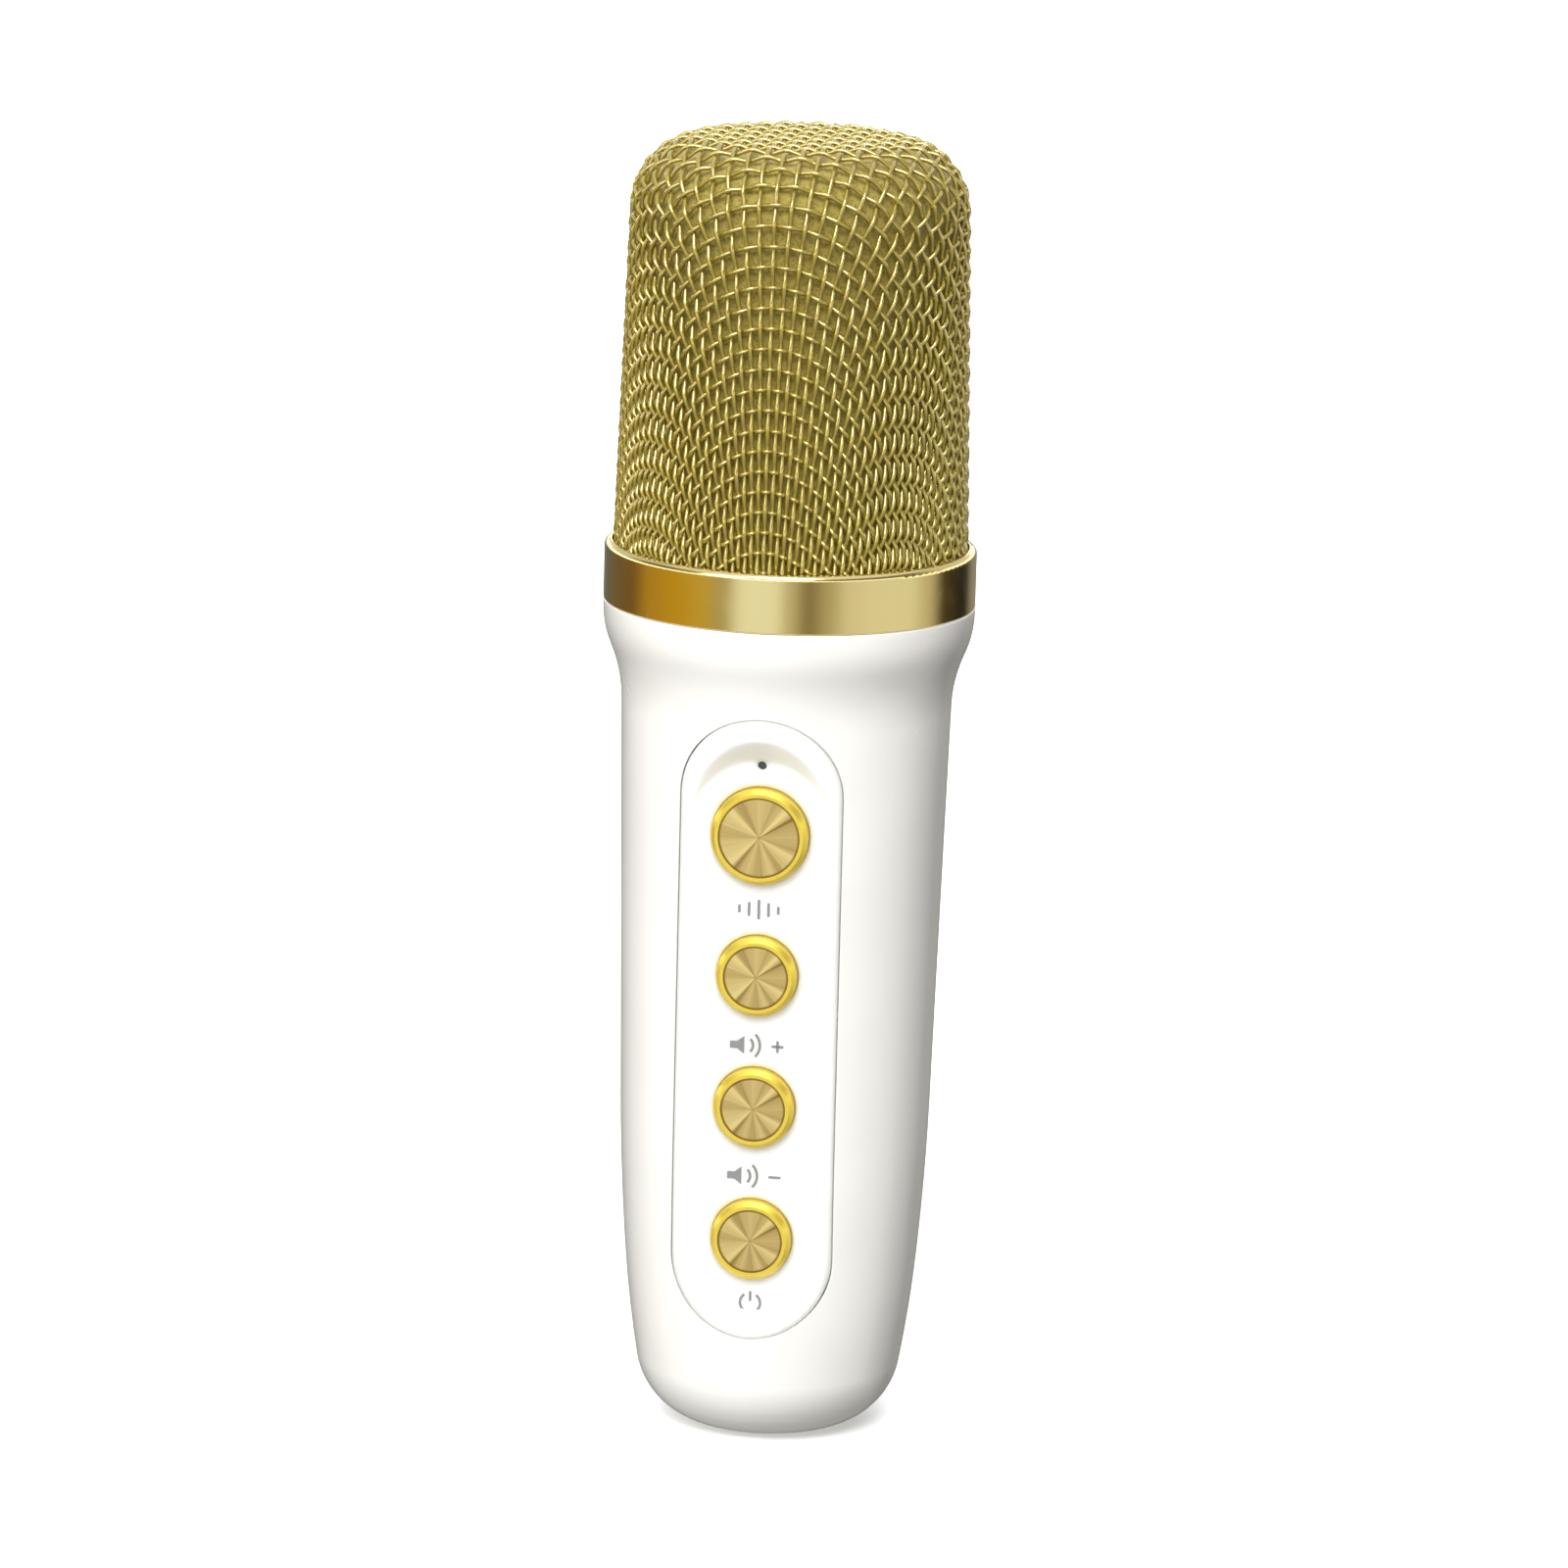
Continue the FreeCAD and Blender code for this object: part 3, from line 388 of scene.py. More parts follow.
def inkHorn(marks, x):
    # the speaker sign: a small box whose right side flares out
    nothingSelected()
    bpy.ops.mesh.primitive_plane_add(size=0.8 * mm, location=(x, 0, 0))
    horn = bpy.context.object
    bpy.ops.object.mode_set(mode="EDIT")
    pickEdges(horn, lambda edge: all(v.co.x > 0 for v in edge.verts))
    bpy.ops.mesh.extrude_edges_move(TRANSFORM_OT_translate={"value": (0.75 * mm, 0, 0)})
    bpy.ops.transform.resize(value=(1, 2.5, 1), center_override=(x, 0, 0))
    bpy.ops.mesh.select_mode(type="FACE")
    bpy.ops.mesh.select_all(action="SELECT")
    bpy.ops.mesh.extrude_region_move(TRANSFORM_OT_translate={"value": (0, 0, marks["ink"])})
    bpy.ops.mesh.select_all(action="SELECT")
    bpy.ops.mesh.normals_make_consistent(inside=False)
    bpy.ops.object.mode_set(mode="OBJECT")
    bpy.ops.object.transform_apply(location=True, rotation=True, scale=True)
    return horn


def makeMarks(marks):
    line = marks["line"]
    signs = []
    step = marks["barStep"]
    bars = [inkStroke(marks, (k - 2) * step, 0, line, h * mm) for k, h in enumerate(marks["bars"])]
    signs.append(("effect", bars))
    for button, plus in (("volume_up", True), ("volume_down", False)):
        parts = [inkHorn(marks, -2.4 * mm),
                 inkArc(marks, -1.3 * mm, 0, 1.0 * mm, -45, 45),
                 inkArc(marks, -1.3 * mm, 0, 1.75 * mm, -45, 45),
                 inkStroke(marks, 2.35 * mm, 0, 1.35 * mm, line)]
        if plus:
            parts.append(inkStroke(marks, 2.35 * mm, 0, line * 1.001, 1.35 * mm))
        signs.append((button, parts))
    signs.append(("power", [inkArc(marks, 0, 0, 1.1 * mm, 125, 415),
                            inkStroke(marks, 0, 0.75 * mm, line, 1.15 * mm)]))
    everything = []
    for button, parts in signs:
        sign = joinPieces(parts)
        sign.data.transform(markPlace(marks, button))
        everything.append(sign)
    return finishPiece(joinPieces(everything), "panel_marks", "handle")


marksPiece = makeMarks(panelMarks)
print("panel marks printed")


# materials: shared effects first, each a node group
def addNode(tree, kind, **settings):
    node = tree.nodes.new(kind)
    for key, value in settings.items():
        setattr(node, key, value)
    return node


def setSockets(node, **values):
    for key, value in values.items():
        node.inputs[key.replace("_", " ")].default_value = value
    return node


def mathNode(tree, operation, first, second=None, third=None, clamp=False):
    node = addNode(tree, "ShaderNodeMath", operation=operation, use_clamp=clamp)
    for index, value in enumerate((first, second, third)):
        if value is None:
            continue
        if isinstance(value, (int, float)):
            node.inputs[index].default_value = value
        else:
            tree.links.new(value, node.inputs[index])
    return node.outputs[0]


def rangeNode(tree, value, low, high, toLow=0.0, toHigh=1.0):
    node = addNode(tree, "ShaderNodeMapRange", interpolation_type="SMOOTHSTEP")
    for index, given in enumerate((value, low, high, toLow, toHigh)):
        if isinstance(given, (int, float)):
            node.inputs[index].default_value = given
        else:
            tree.links.new(given, node.inputs[index])
    return node.outputs[0]


def mixNode(tree, share, first, second, blend="MIX"):
    node = addNode(tree, "ShaderNodeMix", data_type="RGBA", blend_type=blend)
    for index, given in ((0, share), (6, first), (7, second)):
        if isinstance(given, (int, float, tuple)):
            node.inputs[index].default_value = given
        else:
            tree.links.new(given, node.inputs[index])
    return node.outputs[2]


def newGroup(name, inputs, outputs):
    group = bpy.data.node_groups.new(name, "ShaderNodeTree")
    for label, kind, value in inputs:
        socket = group.interface.new_socket(label, in_out="INPUT", socket_type=kind)
        socket.default_value = value
    for label, kind in outputs:
        group.interface.new_socket(label, in_out="OUTPUT", socket_type=kind)
    given = group.nodes.new("NodeGroupInput").outputs
    out = group.nodes.new("NodeGroupOutput").inputs
    return group, given, out


def objectPlace(tree, size, stretch=(1.0, 1.0, 1.0)):
    # object coordinates counted in units of size, in mm
    coordinates = addNode(tree, "ShaderNodeTexCoord")
    scale = addNode(tree, "ShaderNodeVectorMath", operation="SCALE")
    tree.links.new(coordinates.outputs["Object"], scale.inputs[0])
    tree.links.new(mathNode(tree, "DIVIDE", 1000.0, size), scale.inputs["Scale"])
    turned = addNode(tree, "ShaderNodeVectorMath", operation="MULTIPLY")
    tree.links.new(scale.outputs[0], turned.inputs[0])
    turned.inputs[1].default_value = stretch
    return turned.outputs[0]


def fineGrainGroup():
    group, given, out = newGroup(
        "fineGrain",
        [("Grain Size", "NodeSocketFloat", 0.3), ("Softness", "NodeSocketFloat", 0.5)],
        [("Height", "NodeSocketFloat"), ("Mask", "NodeSocketFloat")])
    noise = addNode(group, "ShaderNodeTexNoise")
    setSockets(noise, Scale=1.0, Detail=3.0)
    group.links.new(objectPlace(group, given["Grain Size"]), noise.inputs["Vector"])
    group.links.new(given["Softness"], noise.inputs["Roughness"])
    group.links.new(noise.outputs["Fac"], out["Height"])
    group.links.new(rangeNode(group, noise.outputs["Fac"], 0.42, 0.62), out["Mask"])
    return group


def handlingGroup():
    group, given, out = newGroup(
        "handlingMarks",
        [("Smudge Size", "NodeSocketFloat", 14.0), ("Scratch Size", "NodeSocketFloat", 3.0)],
        [("Smudge", "NodeSocketFloat"), ("Scratch", "NodeSocketFloat")])
    smudge = addNode(group, "ShaderNodeTexNoise")
    setSockets(smudge, Scale=1.0, Detail=4.0, Distortion=1.2)
    group.links.new(objectPlace(group, given["Smudge Size"]), smudge.inputs["Vector"])
    group.links.new(rangeNode(group, smudge.outputs["Fac"], 0.45, 0.75), out["Smudge"])
    lines = addNode(group, "ShaderNodeTexVoronoi", feature="DISTANCE_TO_EDGE")
    setSockets(lines, Scale=1.0)
    drawnOut = objectPlace(group, given["Scratch Size"], (1.0, 1.0, 0.18))
    group.links.new(drawnOut, lines.inputs["Vector"])
    thin = rangeNode(group, lines.outputs["Distance"], 0.0, 0.008, 1.0, 0.0)
    patchy = rangeNode(group, smudge.outputs["Fac"], 0.55, 0.7)
    group.links.new(mathNode(group, "MULTIPLY", thin, patchy), out["Scratch"])
    return group


# painted highlight: a mask that is 1 on rounded edges, where the bevelled normal turns away
def paintedEdgeHighlightGroup():
    group, given, out = newGroup(
        "edgeCatch", [("Width", "NodeSocketFloat", 0.15)], [("Edge", "NodeSocketFloat")])
    bevel = addNode(group, "ShaderNodeBevel", samples=4)
    group.links.new(mathNode(group, "MULTIPLY", given["Width"], mm), bevel.inputs["Radius"])
    shape = addNode(group, "ShaderNodeNewGeometry")
    dot = addNode(group, "ShaderNodeVectorMath", operation="DOT_PRODUCT")
    group.links.new(bevel.outputs[0], dot.inputs[0])
    group.links.new(shape.outputs["Normal"], dot.inputs[1])
    group.links.new(rangeNode(group, dot.outputs["Value"], 0.995, 0.93), out["Edge"])
    return group


# painted reflection of a spun face, as bright and dark sectors clockwise from the top: degrees and brightness
paintedReflectionSectors = [
    (0, 0.62), (14, 0.60), (24, 0.42), (33, 0.55), (44, 0.92), (50, 0.70), (57, 0.08), (66, 0.42),
    (88, 0.50), (100, 0.42), (108, 0.36), (118, 0.80), (134, 0.66), (146, 0.34), (160, 0.72),
    (176, 0.40), (184, 0.44), (196, 0.66), (208, 0.50), (216, 0.10), (224, 0.90), (240, 0.74),
    (258, 0.62), (276, 0.40), (296, 0.66), (314, 0.86), (322, 0.38), (332, 0.30), (344, 0.56), (360, 0.62)]


def spunGroup():
    # a lathe-turned face: painted reflection in broad sectors and fine rays, round grooves, and painted shade
    # along the rim
    group, given, out = newGroup(
        "spunFace",
        [("Place", "NodeSocketVector", (0.0, 0.0, 0.0)), ("Groove Pitch", "NodeSocketFloat", 0.16),
         ("Radius", "NodeSocketFloat", 4.0)],
        [("Sector", "NodeSocketFloat"), ("Groove", "NodeSocketFloat"), ("Centre", "NodeSocketFloat"),
         ("Rim", "NodeSocketFloat")])
    parts = addNode(group, "ShaderNodeSeparateXYZ")
    group.links.new(given["Place"], parts.inputs[0])
    angle = mathNode(group, "ARCTAN2", parts.outputs["X"], parts.outputs["Y"])
    turn = mathNode(group, "DIVIDE", angle, 2 * math.pi)
    turn = mathNode(group, "FRACT", mathNode(group, "ADD", turn, 1.0))
    flat = mathNode(group, "SQRT", mathNode(group, "ADD",
                    mathNode(group, "MULTIPLY", parts.outputs["X"], parts.outputs["X"]),
                    mathNode(group, "MULTIPLY", parts.outputs["Y"], parts.outputs["Y"])))
    ramp = addNode(group, "ShaderNodeValToRGB")
    ramp.color_ramp.interpolation = "EASE"
    marks = ramp.color_ramp.elements
    while len(marks) < len(paintedReflectionSectors):
        marks.new(0.5)
    for mark, (degrees, shade) in zip(marks, paintedReflectionSectors):
        mark.position = degrees / 360.0
        mark.color = (shade, shade, shade, 1.0)
    group.links.new(turn, ramp.inputs[0])
    rays = addNode(group, "ShaderNodeTexNoise", noise_dimensions="1D")
    setSockets(rays, Scale=90.0, Detail=2.0)
    group.links.new(turn, rays.inputs["W"])
    # painted reflection: brightness by sector, with fine rays round the centre
    shade = mathNode(group, "MULTIPLY_ADD", rays.outputs[0], 0.30, ramp.outputs[0])
    group.links.new(mathNode(group, "SUBTRACT", shade, 0.15, clamp=True), out["Sector"])
    wave = mathNode(group, "DIVIDE", mathNode(group, "MULTIPLY", flat, 2 * math.pi), given["Groove Pitch"])
    wave = mathNode(group, "SINE", wave)
    group.links.new(mathNode(group, "MULTIPLY_ADD", wave, 0.5, 0.5), out["Groove"])
    group.links.new(rangeNode(group, flat, 0.0, 0.35, 1.0, 0.0), out["Centre"])
    # painted shade along the disc's edge, where it sits in the cap's rim
    inner = mathNode(group, "SUBTRACT", given["Radius"], 0.26)
    outer = mathNode(group, "SUBTRACT", given["Radius"], 0.08)
    group.links.new(rangeNode(group, flat, inner, outer), out["Rim"])
    return group


effects = {"fineGrain": fineGrainGroup(), "handlingMarks": handlingGroup(),
           "edgeCatch": paintedEdgeHighlightGroup(), "spunFace": spunGroup()}
print("effect groups built:", len(effects))


def useEffect(tree, name, **values):
    node = addNode(tree, "ShaderNodeGroup", node_tree=effects[name])
    for key, value in values.items():
        node.inputs[key.replace("_", " ")].default_value = value
    return node.outputs


def newFinish(name, **settings):
    material = bpy.data.materials.new(name)
    material.use_nodes = True
    tree = material.node_tree
    shader = tree.nodes["Principled BSDF"]
    for key, value in settings.items():
        shader.inputs[key.replace("_", " ")].default_value = value
    return material, tree, shader


def bumpInto(tree, shader, height, depth, strength=1.0, normal=None):
    # depth is in mm
    bump = addNode(tree, "ShaderNodeBump")
    setSockets(bump, Strength=strength, Distance=depth * mm)
    tree.links.new(height, bump.inputs["Height"])
    if normal is not None:
        tree.links.new(normal, bump.inputs["Normal"])
    tree.links.new(bump.outputs[0], shader.inputs["Normal"])
    return bump.outputs[0]


def tint(colour, amount):
    return tuple(min(1.0, c * amount) for c in colour[:3]) + (1.0,)


def mouldedFinish(name, colour, look):
    # moulded plastic: faint cloudiness, grain and the marks of handling
    material, tree, shader = newFinish(
        name, Coat_Weight=look.get("coat", 0.0), Coat_Roughness=look.get("coatRoughness", 0.05),
        Subsurface_Weight=look.get("milky", 0.0), Subsurface_Scale=2.4 * mm,
        Subsurface_Radius=(1.0, 0.95, 0.85))
    grain = useEffect(tree, "fineGrain", Grain_Size=look["grain"], Softness=0.6)
    cloud = useEffect(tree, "fineGrain", Grain_Size=look["cloud"], Softness=0.4)
    marks = useEffect(tree, "handlingMarks", Smudge_Size=look.get("smudge", 14.0),
                      Scratch_Size=look.get("scratch", 3.0))
    shaded = mixNode(tree, cloud["Mask"], tint(colour, 1.0), tint(colour, 1.0 - look["cloudiness"]))
    shaded = mixNode(tree, mathNode(tree, "MULTIPLY", marks["Scratch"], look["wear"]), shaded,
                     tint(colour, look.get("wearTint", 0.9)))
    tree.links.new(shaded, shader.inputs["Base Color"])
    rough = mathNode(tree, "MULTIPLY_ADD", marks["Smudge"], look["smudging"], look["roughness"])
    rough = mathNode(tree, "MULTIPLY_ADD", marks["Scratch"], look["wear"] * 0.3, rough)
    tree.links.new(rough, shader.inputs["Roughness"])
    rounded = None
    if look.get("round"):
        rounded = addNode(tree, "ShaderNodeBevel", samples=6)
        rounded.inputs["Radius"].default_value = look["round"] * mm
        rounded = rounded.outputs[0]
    bumpInto(tree, shader, grain["Height"], look["depth"], normal=rounded)
    return material


def metalFinish(name, colour, look):
    # plated metal: fine grain, smudges, and a painted highlight on rounded edges
    material, tree, shader = newFinish(
        name, Metallic=look.get("metallic", 1.0), Coat_Roughness=0.08)
    grain = useEffect(tree, "fineGrain", Grain_Size=look["grain"], Softness=0.6)
    marks = useEffect(tree, "handlingMarks", Smudge_Size=look.get("smudge", 9.0),
                      Scratch_Size=look.get("scratch", 2.0))
    shaded = mixNode(tree, grain["Mask"], colour, tint(colour, 1.0 - look["mottle"]))
    # painted highlight: rounded edges are lightened in the base colour
    if look.get("edge"):
        edge = useEffect(tree, "edgeCatch", Width=look["edge"])
        share = mathNode(tree, "MULTIPLY", edge["Edge"], 0.6)
        shaded = mixNode(tree, share, shaded, tint(colour, 1.18))
    tree.links.new(shaded, shader.inputs["Base Color"])
    rough = mathNode(tree, "MULTIPLY_ADD", marks["Smudge"], look["smudging"], look["roughness"])
    rough = mathNode(tree, "MULTIPLY_ADD", marks["Scratch"], 0.1, rough)
    tree.links.new(rough, shader.inputs["Roughness"])
    bumpInto(tree, shader, grain["Height"], look["depth"])
    return material


shellLook = {"grain": 0.25, "depth": 0.0015, "cloud": 11.0, "cloudiness": 0.02, "wear": 0.25,
             "smudging": 0.06, "roughness": 0.20, "coat": 0.35, "coatRoughness": 0.06, "round": 0.25}
panelLook = {"grain": 0.18, "depth": 0.0012, "cloud": 8.0, "cloudiness": 0.012, "wear": 0.2,
             "smudging": 0.05, "roughness": 0.24, "coat": 0.2, "coatRoughness": 0.10, "round": 0.8,
             "milky": 1.0}      # round is a softened edge in mm, milky how much light sinks in
matteLook = {"grain": 0.16, "depth": 0.012, "cloud": 4.0, "cloudiness": 0.15, "wear": 0.4,
             "smudging": 0.12, "roughness": 0.48, "wearTint": 1.8}
# edge is the width in mm of the painted highlight on rounded edges
ringLook = {"grain": 0.12, "depth": 0.0006, "mottle": 0.03, "smudging": 0.05, "roughness": 0.16,
            "edge": 0.35, "scratch": 4.0}
capLook = {"grain": 0.10, "depth": 0.0002, "mottle": 0.03, "smudging": 0.04, "roughness": 0.33,
           "edge": 0.2, "smudge": 3.0, "scratch": 1.5, "metallic": 0.7}
tinLook = {"grain": 0.15, "depth": 0.002, "mottle": 0.10, "smudging": 0.12, "roughness": 0.30,
           "edge": 0.1, "smudge": 3.0}


def wovenWireFinish():
    # gold lacquer over wire, with a fine mottle and duller patches
    look = {"grain": 0.12, "depth": 0.003, "mottle": 0.18}
    colour = (0.41, 0.315, 0.032, 1.0)
    material, tree, shader = newFinish(
        "wovenWireGold", Metallic=0.55, Coat_Weight=1.0, Coat_Roughness=0.12, Coat_IOR=1.9)
    grain = useEffect(tree, "fineGrain", Grain_Size=look["grain"], Softness=0.5)
    patches = useEffect(tree, "fineGrain", Grain_Size=6.0, Softness=0.4)
    shaded = mixNode(tree, grain["Mask"], colour, tint(colour, 1.0 - look["mottle"]))
    dull = mixNode(tree, 0.5, shaded, (0.34, 0.26, 0.03, 1.0))
    shaded = mixNode(tree, patches["Mask"], shaded, dull)
    tree.links.new(shaded, shader.inputs["Base Color"])
    tree.links.new(mathNode(tree, "MULTIPLY_ADD", grain["Height"], 0.12, 0.20), shader.inputs["Roughness"])
    bumpInto(tree, shader, grain["Height"], look["depth"])
    return material


def foamFinish():
    # open-cell foam: round pores with painted shade in their pits
    look = {"pore": 0.42, "depth": 0.05}
    material, tree, shader = newFinish("openCellFoam", Sheen_Weight=0.25, Sheen_Roughness=0.5,
                                       Specular_IOR_Level=0.2)
    pores = addNode(tree, "ShaderNodeTexVoronoi", feature="SMOOTH_F1")
    setSockets(pores, Scale=1.0, Smoothness=0.3)
    tree.links.new(objectPlace(tree, look["pore"]), pores.inputs["Vector"])
    grain = useEffect(tree, "fineGrain", Grain_Size=0.2, Softness=0.6)
    poreShade = rangeNode(tree, pores.outputs["Distance"], 0.15, 0.55)
    # painted shade: the pores darken towards their middles
    shaded = mixNode(tree, poreShade, (0.235, 0.185, 0.025, 1.0), (0.36, 0.29, 0.065, 1.0))
    shaded = mixNode(tree, grain["Mask"], shaded, mixNode(tree, 0.35, shaded, (0.20, 0.15, 0.03, 1.0)))
    tree.links.new(shaded, shader.inputs["Base Color"])
    tree.links.new(mathNode(tree, "MULTIPLY_ADD", grain["Height"], 0.2, 0.75), shader.inputs["Roughness"])
    bumpInto(tree, shader, pores.outputs["Distance"], look["depth"])
    return material


def feltFinish():
    material, tree, shader = newFinish("blackFelt", Sheen_Weight=0.6, Sheen_Roughness=0.4,
                                       Specular_IOR_Level=0.15)
    fibres = addNode(tree, "ShaderNodeTexNoise")
    setSockets(fibres, Scale=1.0, Detail=6.0, Roughness=0.7, Distortion=2.5)
    tree.links.new(objectPlace(tree, 0.35), fibres.inputs["Vector"])
    base = slotColour["felt"]
    tree.links.new(mixNode(tree, fibres.outputs["Fac"], tint(base, 0.6), tint(base, 1.9)),
                   shader.inputs["Base Color"])
    tree.links.new(mathNode(tree, "MULTIPLY_ADD", fibres.outputs["Fac"], 0.15, 0.82),
                   shader.inputs["Roughness"])
    bumpInto(tree, shader, fibres.outputs["Fac"], 0.06)
    return material


def spunFinish(button):
    # the gold disc of one button, spun about its own centre
    look = {"pitch": 0.22, "depth": 0.012,
            "dark": (0.30, 0.17, 0.035, 1.0), "light": (1.0, 0.82, 0.38, 1.0)}
    low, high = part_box(button + "_button_disc")
    middle = (low + high) / 2
    material, tree, shader = newFinish("spunGold_" + button, Metallic=1.0, Anisotropic=0.55)
    coordinates = addNode(tree, "ShaderNodeTexCoord")
    shift = addNode(tree, "ShaderNodeMapping", vector_type="POINT")
    shift.inputs["Location"].default_value = -middle
    turn = addNode(tree, "ShaderNodeMapping", vector_type="POINT")
    turn.inputs["Rotation"].default_value = (math.asin(panelOut.z) - math.pi / 2, 0.0, 0.0)
    turn.inputs["Scale"].default_value = (1000.0, 1000.0, 1000.0)
    tree.links.new(coordinates.outputs["Object"], shift.inputs[0])
    tree.links.new(shift.outputs[0], turn.inputs[0])
    spun = addNode(tree, "ShaderNodeGroup", node_tree=effects["spunFace"])
    tree.links.new(turn.outputs[0], spun.inputs["Place"])
    spun.inputs["Groove Pitch"].default_value = look["pitch"]
    spun.inputs["Radius"].default_value = (high.x - low.x) / 2 / mm
    grain = useEffect(tree, "fineGrain", Grain_Size=0.1, Softness=0.6)
    # painted reflection: the sectors run from dark to light gold
    shaded = mixNode(tree, spun.outputs["Sector"], look["dark"], look["light"])
    shaded = mixNode(tree, mathNode(tree, "MULTIPLY", spun.outputs["Centre"], 0.5), shaded,
                     (0.30, 0.20, 0.05, 1.0))
    # painted shade along the disc's edge
    shaded = mixNode(tree, mathNode(tree, "MULTIPLY", spun.outputs["Rim"], 0.85), shaded,
                     (0.26, 0.14, 0.02, 1.0))
    tree.links.new(shaded, shader.inputs["Base Color"])
    rough = mathNode(tree, "MULTIPLY_ADD", grain["Height"], 0.1, 0.28)
    tree.links.new(rough, shader.inputs["Roughness"])
    tangent = addNode(tree, "ShaderNodeTangent", direction_type="RADIAL", axis="Y")
    tree.links.new(tangent.outputs[0], shader.inputs["Tangent"])
    bumpInto(tree, shader, spun.outputs["Groove"], look["depth"])
    return material


def boardFinish():
    # green solder mask with copper tracks showing through
    base = slotColour["board_green"]
    material, tree, shader = newFinish("solderMask", Coat_Weight=0.4, Coat_Roughness=0.15)
    tracks = addNode(tree, "ShaderNodeTexBrick", offset=0.5)
    setSockets(tracks, Scale=1.0, Mortar_Size=0.06, Brick_Width=1.7, Row_Height=0.8)
    place = objectPlace(tree, 1.0)
    swap = addNode(tree, "ShaderNodeMapping")
    swap.inputs["Rotation"].default_value = (math.pi / 2, 0.0, 0.0)
    tree.links.new(place, swap.inputs[0])
    tree.links.new(swap.outputs[0], tracks.inputs["Vector"])
    lines = mathNode(tree, "SUBTRACT", 1.0, tracks.outputs["Fac"])
    grain = useEffect(tree, "fineGrain", Grain_Size=0.6, Softness=0.5)
    shaded = mixNode(tree, lines, tint(base, 1.7), base)
    shaded = mixNode(tree, mathNode(tree, "MULTIPLY", grain["Mask"], 0.4), shaded, tint(base, 0.6))
    tree.links.new(shaded, shader.inputs["Base Color"])
    tree.links.new(mathNode(tree, "MULTIPLY_ADD", grain["Height"], 0.15, 0.25), shader.inputs["Roughness"])
    bumpInto(tree, shader, tracks.outputs["Fac"], 0.03)
    return material


def cellFinish():
    # heat-shrunk sleeve round the cell, with bare metal at both ends
    base = slotColour["cell_wrap"]
    low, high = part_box("battery_cell")
    material, tree, shader = newFinish("shrinkSleeve", Coat_Weight=0.5, Coat_Roughness=0.1)
    coordinates = addNode(tree, "ShaderNodeTexCoord")
    parts = addNode(tree, "ShaderNodeSeparateXYZ")
    tree.links.new(coordinates.outputs["Object"], parts.inputs[0])
    below = rangeNode(tree, parts.outputs["Z"], low.z + 0.3 * mm, low.z + 0.5 * mm, 1.0, 0.0)
    above = rangeNode(tree, parts.outputs["Z"], high.z - 0.5 * mm, high.z - 0.3 * mm)
    ends = mathNode(tree, "MAXIMUM", below, above)
    wrinkles = useEffect(tree, "fineGrain", Grain_Size=2.4, Softness=0.4)
    shaded = mixNode(tree, wrinkles["Mask"], base, tint(base, 0.82))
    shaded = mixNode(tree, ends, shaded, (0.70, 0.70, 0.72, 1.0))
    tree.links.new(shaded, shader.inputs["Base Color"])
    tree.links.new(ends, shader.inputs["Metallic"])
    tree.links.new(mathNode(tree, "MULTIPLY_ADD", wrinkles["Height"], 0.2, 0.2), shader.inputs["Roughness"])
    bumpInto(tree, shader, wrinkles["Height"], 0.12)
    return material


def rubberFinish():
    base = slotColour["seal_rubber"]
    material, tree, shader = newFinish("softRubber", Specular_IOR_Level=0.35, Sheen_Weight=0.15)
    grain = useEffect(tree, "fineGrain", Grain_Size=0.14, Softness=0.7)
    dust = useEffect(tree, "handlingMarks", Smudge_Size=4.0, Scratch_Size=2.0)
    shaded = mixNode(tree, grain["Mask"], base, tint(base, 1.5))
    dusty = mathNode(tree, "MULTIPLY", dust["Smudge"], 0.25)
    shaded = mixNode(tree, dusty, shaded, (0.16, 0.155, 0.15, 1.0))
    tree.links.new(shaded, shader.inputs["Base Color"])
    tree.links.new(mathNode(tree, "MULTIPLY_ADD", dust["Smudge"], 0.15, 0.62), shader.inputs["Roughness"])
    bumpInto(tree, shader, grain["Height"], 0.015)
    return material


def inkFinish():
    material, tree, shader = newFinish("greyInk", Specular_IOR_Level=0.3)
    grain = useEffect(tree, "fineGrain", Grain_Size=0.08, Softness=0.7)
    tree.links.new(mixNode(tree, grain["Mask"], (0.20, 0.20, 0.21, 1.0), (0.27, 0.27, 0.28, 1.0)),
                   shader.inputs["Base Color"])
    tree.links.new(mathNode(tree, "MULTIPLY_ADD", grain["Height"], 0.2, 0.45), shader.inputs["Roughness"])
    bumpInto(tree, shader, grain["Height"], 0.004)
    return material


def lensFinish(name, colour, share):
    material, tree, shader = newFinish(name, Transmission_Weight=share, IOR=1.49, Coat_Weight=0.3)
    grain = useEffect(tree, "fineGrain", Grain_Size=0.2, Softness=0.4)
    tree.links.new(mixNode(tree, grain["Mask"], colour, tint(colour, 0.85)), shader.inputs["Base Color"])
    tree.links.new(mathNode(tree, "MULTIPLY_ADD", grain["Height"], 0.1, 0.12), shader.inputs["Roughness"])
    bumpInto(tree, shader, grain["Height"], 0.003)
    return material


def leadFinish(name, colour):
    # soft wire insulation, a little chalky
    material, tree, shader = newFinish(name, Specular_IOR_Level=0.4)
    grain = useEffect(tree, "fineGrain", Grain_Size=0.3, Softness=0.6)
    tree.links.new(mixNode(tree, grain["Mask"], colour, tint(colour, 0.75)), shader.inputs["Base Color"])
    tree.links.new(mathNode(tree, "MULTIPLY_ADD", grain["Height"], 0.2, 0.35), shader.inputs["Roughness"])
    bumpInto(tree, shader, grain["Height"], 0.02)
    return material


